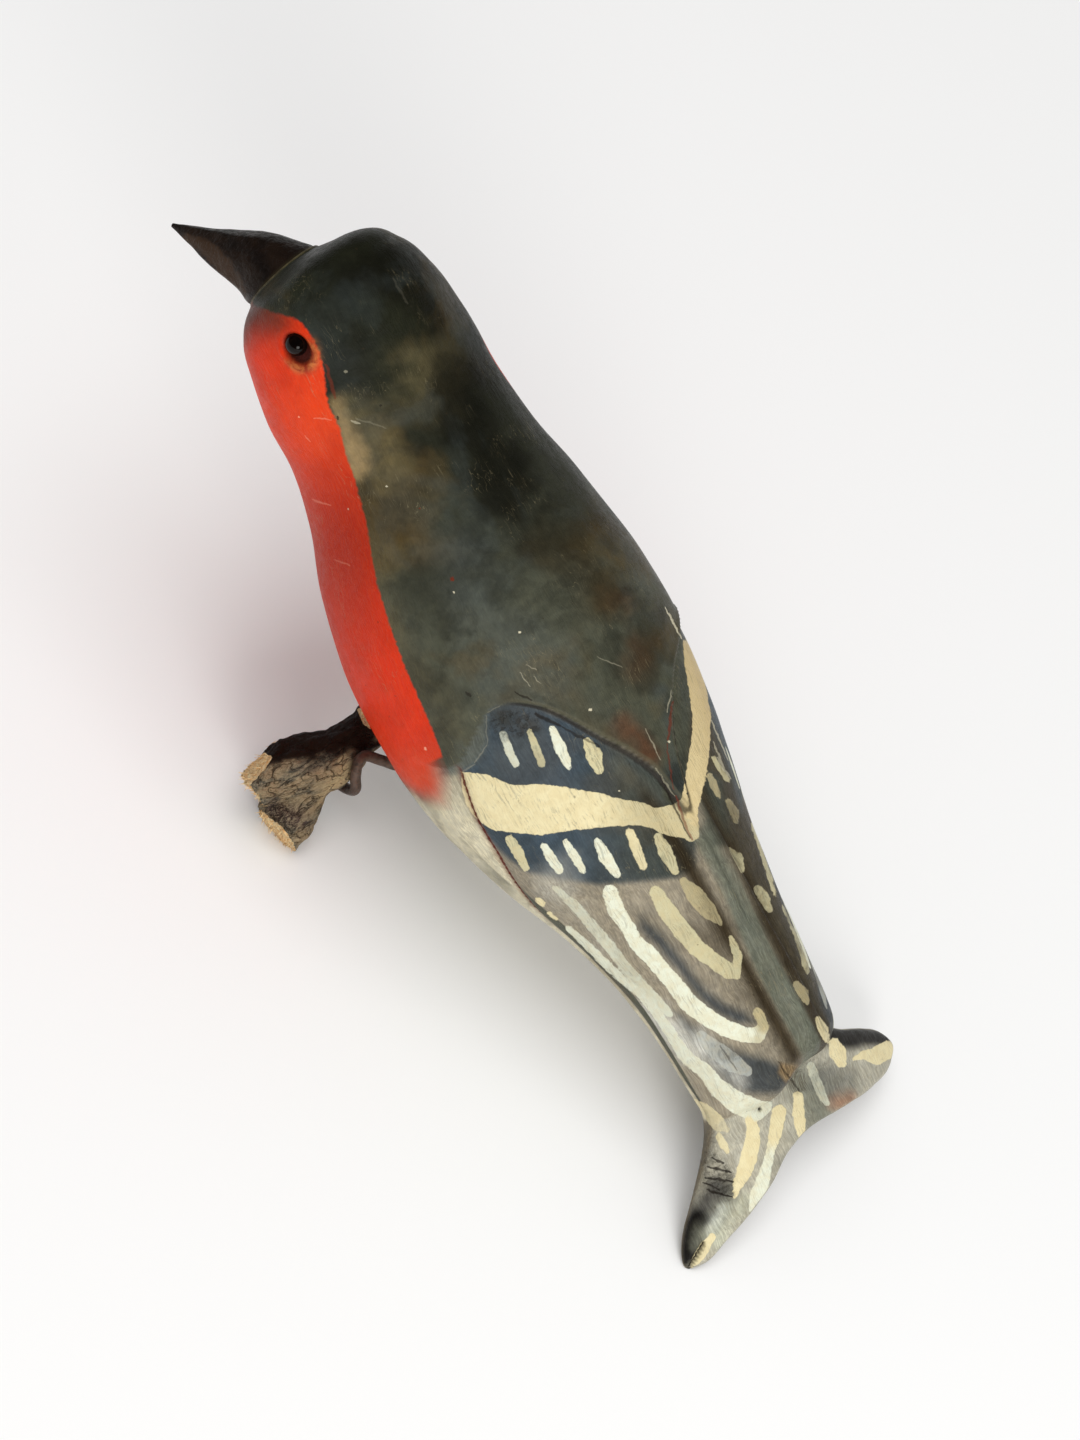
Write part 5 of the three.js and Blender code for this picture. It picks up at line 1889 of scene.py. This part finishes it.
@dataclass(frozen=True)
class GlassEye:
    """One black glass bead."""

    form: CarvedForm
    stance: Stance
    side: int
    segments: int = 40
    rings: int = 24

    def build(self, material: Material) -> Piece:
        """Smooth bead in its socket."""
        centre = self.form.eye_centre(self.side)
        polar = np.linspace(0, math.pi, self.rings + 2)[1:-1, None]
        turn = 2 * np.pi * np.arange(self.segments) / self.segments
        points = centre + self.form.eye_radius * np.stack(
            [np.sin(polar) * np.sin(turn), np.cos(polar) * np.ones_like(turn),
             np.sin(polar) * np.cos(turn)], -1)
        faces = closed_faces(self.rings, self.segments)
        name = "left" if self.side > 0 else "right"
        return make_piece(f"{name}_bead", self.stance.place(points), faces, material,
                          (f"{name}_eye",))


@dataclass(frozen=True)
class PerchBranch:
    """Forked piece of natural branch: centre lines as share, x, y, z and radius, in the lying frame."""

    stance: Stance
    view: PhotoView
    limb: Rows = (
        (0, -58, -52, -94.1, 4.6), (0.2, -42, -45, -82.4, 5.2), (0.4, -20, -38.6, -74.0, 5.4),
        (0.55, -2, -37.2, -72.0, 5.2), (0.7, 14, -37.2, -72.0, 4.8), (0.78, 20, -36.8, -72.3, 5.3),
        (0.86, 28, -36.3, -73.5, 6.7), (0.93, 37, -38.8, -75, 6.7), (1, 48, -41.4, -77, 5.6),
    )
    prong: Rows = (
        (0, 29.5, -36.2, -75.3, 5.5), (0.35, 34.8, -33.2, -77.6, 6.1), (0.75, 40.5, -28.2, -81.0, 5.9),
        (1, 46, -24.4, -84.0, 4.8),
    )
    spur: Rows = ((0, 16, -37, -72.0, 3.8), (0.5, 13.6, -40.6, -70.6, 3.2), (1, 11.4, -43.6, -69.0, 1.8))
    limb_cuts: tuple[Rows, ...] = (((43.5, -42.6, -74), (0.29, -0.95, -0.07)),
                                   ((47.2, -42.5, -74.5), (0.85, 0.2, -0.45)))
    prong_cuts: tuple[Rows, ...] = (((42.2, -28, -81), (0.93, 0.2, -0.3)),)
    grain: float = 0.4
    bark_depth: float = 0.75
    fibre_seed: int = 17
    # Where fresh wood shows, and where the upper bark is painted near-black as shade, measured in photo
    # pixels
    fresh_wood: tuple[Rows, ...] = (
        ((239, 787), (242, 775), (254, 761), (264, 754), (271, 757), (268, 765), (260, 776), (251, 788),
         (244, 791)),
        ((259, 809), (272, 820), (287, 825), (303, 835), (297, 855), (286, 850), (272, 836), (262, 824)),
        ((356, 708), (361, 708), (370, 722), (371, 730), (363, 724)),
    )
    shaded_until: Rows = ((240, 775), (271, 766), (309, 760), (331, 753), (349, 748), (390, 742))
    mauve: Rows = ((274, 808, 9), (300, 820, 10))
    weathered: Rows = ((318, 797, 5), (334, 786, 8), (347, 770, 7))

    def limb_share(self, x: float) -> float:
        """Share along the limb at which it passes a given x."""
        share = np.linspace(0, 1, 4001)
        return float(np.interp(x, spline(self.limb, share)[:, 0], share))

    def tube(self, rows: Rows, steps: int, sides: int, cuts: tuple[Rows, ...]) -> bmesh.types.BMesh:
        """Rough closed tube along a centre line, sawn off at its cuts."""
        share = np.linspace(0, 1, steps + 1)
        row = spline(rows, share)
        left, back = across(heading(rows, share))
        angle = 2 * np.pi * np.arange(sides) / sides
        sine, cosine = np.sin(angle)[:, None], np.cos(angle)[:, None]
        points = row[:, None, :3] + row[:, None, 3:4] * (left[:, None] * sine + back[:, None] * cosine)
        mesh = bpy.data.meshes.new("tube")
        mesh.from_pydata(points.reshape(-1, 3).tolist(), [], closed_faces(len(points), sides))
        solid = bmesh.new()
        solid.from_mesh(mesh)
        bpy.data.meshes.remove(mesh)
        for point, outward in cuts:
            everything = solid.verts[:] + solid.edges[:] + solid.faces[:]
            cut = bmesh.ops.bisect_plane(solid, geom=everything, plane_co=point, plane_no=outward,
                                         clear_outer=True)
            edges = [item for item in cut["geom_cut"] if isinstance(item, bmesh.types.BMEdge)]
            bmesh.ops.edgenet_fill(solid, edges=edges)
        return solid

    def fused(self) -> tuple[Array, Faces]:
        """Limb, prong and spur grown together as one fine skin, in millimetres."""
        whole = bpy.data.meshes.new("growth")
        joined = bmesh.new()
        parts = ((self.limb, 90, 40, self.limb_cuts), (self.prong, 26, 36, self.prong_cuts),
                 (self.spur, 14, 28, ()))
        for rows, steps, sides, cuts in parts:
            tube = self.tube(rows, steps, sides, cuts)
            part = bpy.data.meshes.new("part")
            tube.to_mesh(part)
            joined.from_mesh(part)
            tube.free()
            bpy.data.meshes.remove(part)
        joined.to_mesh(whole)
        joined.free()
        rough = in_scene("growth", whole)
        remesh = rough.modifiers.new("fuse", "REMESH")
        remesh.mode = "VOXEL"
        remesh.voxel_size = self.grain
        return read_back(rough)

    def build(self, material: Material) -> tuple[Piece, list[tuple[Array, list, Array]]]:
        """Branch with wrinkled bark and fibrous cuts.

        Args:
            material: Finish of the bark and cut wood.

        Returns:
            The piece, and for each cut its points and faces with the grain's direction there.
        """
        points, faces = self.fused()
        normals = self.point_normals(points, faces)
        cut = np.zeros(len(points))
        grains = ((0.85, -0.3, -0.25), (0.85, -0.3, -0.25), (0.75, 0.55, -0.4))
        fields = []
        for (point, outward), grain in zip(self.limb_cuts + self.prong_cuts, grains):
            out = unit(np.asarray(outward, float))
            depth = (points - np.asarray(point)) @ out
            near = np.linalg.norm(points - np.asarray(point), axis=-1) < 15
            on_cut = ramp(-0.7, -0.25, depth) * ramp(0.5, 0.8, normals @ out) * near
            cut = np.maximum(cut, on_cut)
            along = unit(np.asarray(grain) - (np.asarray(grain) @ out) * out)
            side = np.cross(out, along)
            local = np.stack([points @ along, points @ side, points @ out], -1)
            points = points + out * (on_cut * 0.55 * Lumps(31).layered(local, 1.5, 3, (7, 1, 1)))[:, None]
            fields.append((on_cut > 0.5, self.stance.turn(unit(0.75 * along + out))))
        wrinkles = Lumps(41)
        coarse = np.abs(wrinkles.layered(points, 3.4, 3, (2.2, 1, 1)))
        fine = wrinkles.layered(points + 77, 1.3, 2, (2.6, 1, 1))
        bark = self.bark_depth * (coarse - 0.42) + 0.16 * fine + 0.35 * Lumps(43).at(points, 7.0)
        points = points + normals * (bark * (1 - cut))[:, None]
        placed = self.stance.place(points)
        placed[:, 2] = np.maximum(placed[:, 2], 0.0)
        piece = make_piece("perch_branch", placed, faces, material, ("branch",))
        placed_normals = self.stance.turn(normals)
        own, seen = self.view.project(points), self.view.facing(points, normals)
        line = np.array(self.shaded_until)
        below = own[:, 1] - np.interp(own[:, 0], line[:, 0], line[:, 1])
        below = below + 11 * Lumps(47).layered(points, 4.0, 3, (2, 1, 1))
        shown = ramp(-0.1, 0.15, seen)
        # Painted light and shade: grey where the bark faces down or toward the tail, near-black where it
        # faces up; on the side the camera sees, grey below the measured line.
        under = 0.8 * (1 - ramp(-0.35, 0.75, placed_normals[:, 2] - 0.55 * placed_normals[:, 1]))
        under += (ramp(-14, 16, below) - under) * shown
        wood = np.max([outline_depth(own, outline) for outline in self.fresh_wood], axis=0)
        cut *= 1 - shown * (1 - ramp(-2.2, 0.8, wood + 2.0 * Lumps(49).at(points, 1.6)))
        cut = np.maximum(cut, shown * 0.8 * ramp(-1, 1, outline_depth(own, self.fresh_wood[2])))
        mauve = ramp(-6, 6, line_depth(own, self.mauve)) * shown
        broken = 6 * Lumps(53).layered(points, 3.0, 3)
        weathered = ramp(-7, 7, line_depth(own, self.weathered) + broken) * shown
        write_values(piece.data, {"cut": cut, "underside": under, "mauve": mauve, "weathered": weathered})
        patches = [self.patch(placed, faces, chosen & (cut > 0.5)) + (grain,) for chosen, grain in fields]
        return piece, patches

    @staticmethod
    def patch(points: Array, faces: Faces, chosen: Array) -> tuple[Array, Faces]:
        """Part of a skin whose points are all chosen."""
        kept = [face for face in faces if all(chosen[list(face)])]
        used = sorted({index for face in kept for index in face})
        fresh = {index: place for place, index in enumerate(used)}
        return points[used], [tuple(fresh[index] for index in face) for face in kept]

    @staticmethod
    def point_normals(points: Array, faces: Faces) -> Array:
        """Outward normal at each point of a mesh of quads."""
        quads = np.array([face if len(face) == 4 else (*face, face[-1]) for face in faces])
        first, second = points[quads[:, 2]] - points[quads[:, 0]], points[quads[:, 3]] - points[quads[:, 1]]
        face_normals = np.cross(first, second)
        total = np.zeros_like(points)
        for corner in range(4):
            np.add.at(total, quads[:, corner], face_normals)
        return unit(total)


def growing_tree(name: str, result: str, inputs: dict[str, str]) -> tuple[Wiring, Fitting, Fitting]:
    """Empty Geometry Nodes tree with named inputs.

    Args:
        name: Its name.
        result: Name of the shape that it gives.
        inputs: Kind of each input by name.

    Returns:
        The tree's wiring, and its input and output nodes.
    """
    w = Wiring(bpy.data.node_groups.new(name, "GeometryNodeTree"))
    for key, kind in inputs.items():
        w.tree.interface.new_socket(key, in_out="INPUT", socket_type="NodeSocket" + kind)
    w.tree.interface.new_socket(result, in_out="OUTPUT", socket_type="NodeSocketGeometry")
    return w, w.put("NodeGroupInput"), w.put("NodeGroupOutput")


@dataclass(frozen=True)
class SweptWire:
    """Geometry Nodes tree that turns a run of points into round wire."""

    @staticmethod
    def tree() -> Tree:
        """Tree with the wire's radius, its sides and its finish as inputs."""
        w, given, out = growing_tree("wire_sweep", "Wire", {
            "Points": "Geometry", "Radius": "Float", "Sides": "Int", "Finish": "Material"})
        path = w.put("GeometryNodeMeshToCurve", {0: given["Points"]})
        profile = w.put("GeometryNodeCurvePrimitiveCircle",
                        {"Resolution": given["Sides"], "Radius": given["Radius"]})
        swept = w.put("GeometryNodeCurveToMesh", {"Curve": path[0], "Profile Curve": profile[0],
                                                  "Fill Caps": True})
        smooth = w.put("GeometryNodeSetShadeSmooth", {0: swept[0]})
        real = w.put("GeometryNodeRealizeInstances", {0: smooth[0]})
        done = w.put("GeometryNodeSetMaterial", {0: real[0], "Material": given["Finish"]})
        out.feed(0, done[0])
        return w.tree


@dataclass(frozen=True)
class FibreField:
    """Geometry Nodes tree that stands torn fibres on a patch of cut wood."""

    @staticmethod
    def tree() -> Tree:
        """Tree with the fibres' number, length, width, direction, seed and finish as inputs."""
        w, given, out = growing_tree("torn_fibres", "Fibres", {
            "Patch": "Geometry", "Density": "Float", "Length": "Float", "Width": "Float",
            "Direction": "Vector", "Seed": "Int", "Finish": "Material"})
        spots = w.put("GeometryNodeDistributePointsOnFaces",
                      {"Mesh": given["Patch"], "Density": given["Density"], "Seed": given["Seed"]})
        cone = w.put("GeometryNodeMeshCone", {"Vertices": 5, "Radius Top": 0.00002,
                                              "Radius Bottom": given["Width"], "Depth": given["Length"]})
        sway = w.put("FunctionNodeRandomValue", {0: (-0.35, -0.35, -0.35), 1: (0.35, 0.35, 0.35),
                                                 "Seed": given["Seed"]}, data_type="FLOAT_VECTOR")
        lean = w.vector("ADD", given["Direction"], sway[0])
        turn = w.put("FunctionNodeAlignRotationToVector", {"Vector": lean[0]}, axis="Z")
        size = w.put("FunctionNodeRandomValue", {2: 0.35, 3: 1.0, "Seed": given["Seed"]}, data_type="FLOAT")
        stood = w.put("GeometryNodeInstanceOnPoints", {"Points": spots["Points"], "Instance": cone["Mesh"],
                                                       "Rotation": turn[0], "Scale": size[1]})
        real = w.put("GeometryNodeRealizeInstances", {0: stood[0]})
        done = w.put("GeometryNodeSetMaterial", {0: real[0], "Material": given["Finish"]})
        out.feed(0, done[0])
        return w.tree


def grown(name: str, points: Array, edges: Faces, faces: Faces, tree: Tree,
          settings: dict[str, object]) -> tuple[Array, Faces]:
    """Runs a Geometry Nodes tree on a small mesh and reads the result back.

    Args:
        name: Name of the helper mesh.
        points: Its points.
        edges: Its edges.
        faces: Its faces.
        tree: The tree.
        settings: Values of the tree's inputs by name.

    Returns:
        Points and faces of the result.
    """
    mesh = bpy.data.meshes.new(name)
    mesh.from_pydata(points.tolist(), edges, faces)
    helper = in_scene(name, mesh)
    modifier = helper.modifiers.new(name, "NODES")
    modifier.node_group = tree
    sockets = {item.name: item.identifier for item in tree.interface.items_tree if item.in_out == "INPUT"}
    for key, value in settings.items():
        modifier[sockets[key]] = value
    return read_back(helper)


@dataclass(frozen=True)
class TornFibres:
    """Pale splinters that stand on the branch's cuts."""

    seed: int
    length: float = 1.5
    width: float = 0.11
    density: float = 0.9

    def build(self, patches: list[tuple[Array, list, Array]], material: Material) -> Piece:
        """One piece of all splinters.

        Args:
            patches: Points and faces of each cut, with the grain's direction.
            material: Finish of the fibres.

        Returns:
            The finished piece.
        """
        tree = FibreField.tree()
        points, faces = [], []
        for number, (places, patch_faces, grain) in enumerate(patches):
            if not patch_faces:
                continue
            settings = {"Density": self.density * 1e6, "Length": self.length * MM, "Width": self.width * MM,
                        "Direction": tuple(float(v) for v in grain), "Seed": self.seed + number,
                        "Finish": material}
            skin, shapes = grown("cut_face", places, [], patch_faces, tree, settings)
            start = sum(len(part) for part in points)
            points.append(skin)
            faces += [tuple(index + start for index in shape) for shape in shapes]
        whole = np.concatenate(points)
        whole[:, 2] = np.maximum(whole[:, 2], 0.0)
        return make_piece("cut_fibres", whole, faces, material)


@dataclass(frozen=True)
class WireLeg:
    """One bent wire leg: out from the middle, then how far behind and above the limb's centre it lies."""

    stance: Stance
    branch: PerchBranch
    side: int
    spread: float = 10.0
    back: float = -31.0
    root_heights: tuple[float, float] = (-55.0, -63.4)
    radius: float = 1.2
    sides: int = 20
    samples: int = 16
    route: Rows = (
        (12.2, 8.8, 5.2), (15.6, 9.3, 4.8), (19.6, 6.0, 6.1), (23.8, 2.3, 7.6), (25.8, 2.6, 7.9),
        (27.0, 5.0, 6.5), (26.6, 7.8, 3.5), (25.2, 8.4, -1.4), (24.2, 6.2, -6.4), (23.6, 1.0, -8.3),
    )

    def bends(self) -> Array:
        """Points that the wire passes, from its hole in the belly to its free end."""
        points = [(self.side * self.spread, self.back, height) for height in self.root_heights]
        for out, behind, above in self.route:
            x, y, z, _ = spline(self.branch.limb, np.array(self.branch.limb_share(self.side * out)))
            points.append((x, y + behind, z + above))
        return np.array(points)

    def path(self) -> Array:
        """Smooth line through the bends."""
        knots = self.bends()
        knots = np.concatenate([[2 * knots[0] - knots[1]], knots, [2 * knots[-1] - knots[-2]]])
        steps = np.sqrt(np.linalg.norm(np.diff(knots, axis=0), axis=-1))
        line = []
        for i in range(1, len(knots) - 2):
            a, b, c, d = knots[i - 1:i + 3]
            before, here, after = steps[i - 1:i + 2]
            start = ((b - a) / before - (c - a) / (before + here) + (c - b) / here) * here
            stop = ((c - b) / here - (d - b) / (here + after) + (d - c) / after) * here
            for t in np.arange(self.samples) / self.samples:
                line.append((2 * t**3 - 3 * t**2 + 1) * b + (t**3 - 2 * t**2 + t) * start
                            + (3 * t**2 - 2 * t**3) * c + (t**3 - t**2) * stop)
        return np.array(line + [knots[-2]])

    def build(self, tree: Tree, material: Material) -> Piece:
        """Round wire along the path, its end nipped off."""
        points = self.stance.place(self.path())
        edges = [(i, i + 1) for i in range(len(points) - 1)]
        settings = {"Radius": self.radius * MM, "Sides": self.sides, "Finish": material}
        name = "left" if self.side > 0 else "right"
        skin, faces = grown("wire_run", points, edges, [], tree, settings)
        return make_piece(f"{name}_wire", skin, faces, material, (f"{name}_leg",))


@dataclass(frozen=True)
class Studio:
    """Plain pale floor and soft light that falls mostly from the tail's side, as in the photograph."""

    stance: Stance
    floor_half: float = 3.0
    key_energy: float = 6.4
    overhead_energy: float = 31.0
    room_light: float = 0.5

    def build(self, view: PhotoView) -> None:
        """Floor, lamps and pale surroundings."""
        mesh = bpy.data.meshes.new("floor")
        s = self.floor_half
        mesh.from_pydata([(-s, -s, 0), (s, -s, 0), (s, s, 0), (-s, s, 0)], [], [(0, 1, 2, 3)])
        floor = in_scene("floor", mesh)
        material, w, shader = blank_material("studio_floor")
        cloud = w.noise(w.put("ShaderNodeTexCoord")["Object"], 3.0)
        shader.feed("Base Color", w.blend(cloud, (0.93, 0.93, 0.925), (0.95, 0.95, 0.945)))
        shader.feed("Roughness", 0.9)
        mesh.materials.append(material)
        _, right, down, toward = view.directions()
        middle = self.stance.place(np.array([0.0, 0.0, -25.0]))
        key = self.stance.turn(unit(0.8 * down + 0.25 * right + 1.0 * toward))
        self.lamp("key_light", middle, key, 1.2, 0.5, self.key_energy, (1.0, 0.985, 0.96))
        overhead = self.lamp("overhead_light", middle, np.array([0.05, 0.0, 1.0]), 2.5, 2.4,
                             self.overhead_energy, (1, 1, 1))
        overhead.visible_glossy = False
        world = bpy.data.worlds.new("pale_room")
        world.use_nodes = True
        background = world.node_tree.nodes["Background"]
        background.inputs[0].default_value = (1.0, 1.0, 1.0, 1.0)
        background.inputs[1].default_value = self.room_light
        world.cycles_visibility.glossy = False
        bpy.context.scene.world = world
        bpy.context.scene.view_settings.view_transform = "Standard"

    def lamp(self, name: str, aim: Array, direction: Array, distance: float, size: float, energy: float,
             colour: Colour) -> Piece:
        """Soft square lamp that looks at a point from a direction."""
        data = bpy.data.lights.new(name, "AREA")
        data.shape = "SQUARE"
        data.size = size
        data.energy = energy
        data.color = colour
        back = unit(np.asarray(direction))
        left = unit(np.cross((0.0, 0.0, 1.0), back))
        matrix = np.eye(4)
        matrix[:3, :3] = np.stack([left, np.cross(back, left), back], axis=1)
        matrix[:3, 3] = aim + back * distance
        lamp = in_scene(name, data)
        lamp.matrix_world = Matrix(matrix.tolist())
        return lamp


def standing_stance(form: CarvedForm) -> Stance:
    """Stance that puts the left bead where the CAD bead is."""
    low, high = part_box("left_eye")
    target = (np.array(low) + np.array(high)) / 2 / MM
    turned = Stance((0.0, 0.0, 0.0)).turn(form.eye_centre(1))
    return Stance(tuple(float(v) for v in target - turned))


def main() -> None:
    """Builds the bird, its perch and the studio, in order."""
    logging.basicConfig(level=logging.INFO, format="%(name)s: %(message)s")
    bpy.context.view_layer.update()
    form = CarvedForm()
    stance = standing_stance(form)
    view = PhotoView()
    view.camera(stance)
    kit = EffectKit.make()
    PaintedCarving(form, view, stance).build(PaintedWood(kit, stance.tilt).material())
    Beak(form, stance, view).build(BeakPaint(kit, stance.tilt).material())
    glass = BeadGlass(kit).material()
    branch = PerchBranch(stance, view)
    _, patches = branch.build(Bark(kit).material())
    TornFibres(branch.fibre_seed).build(patches, FreshFibre(kit).material())
    wire_tree, wire = SweptWire.tree(), DullWire(kit).material()
    for side in (1, -1):
        GlassEye(form, stance, side).build(glass)
        WireLeg(stance, branch, side).build(wire_tree, wire)
    Studio(stance).build(view)


if __name__ == "__main__":
    main()
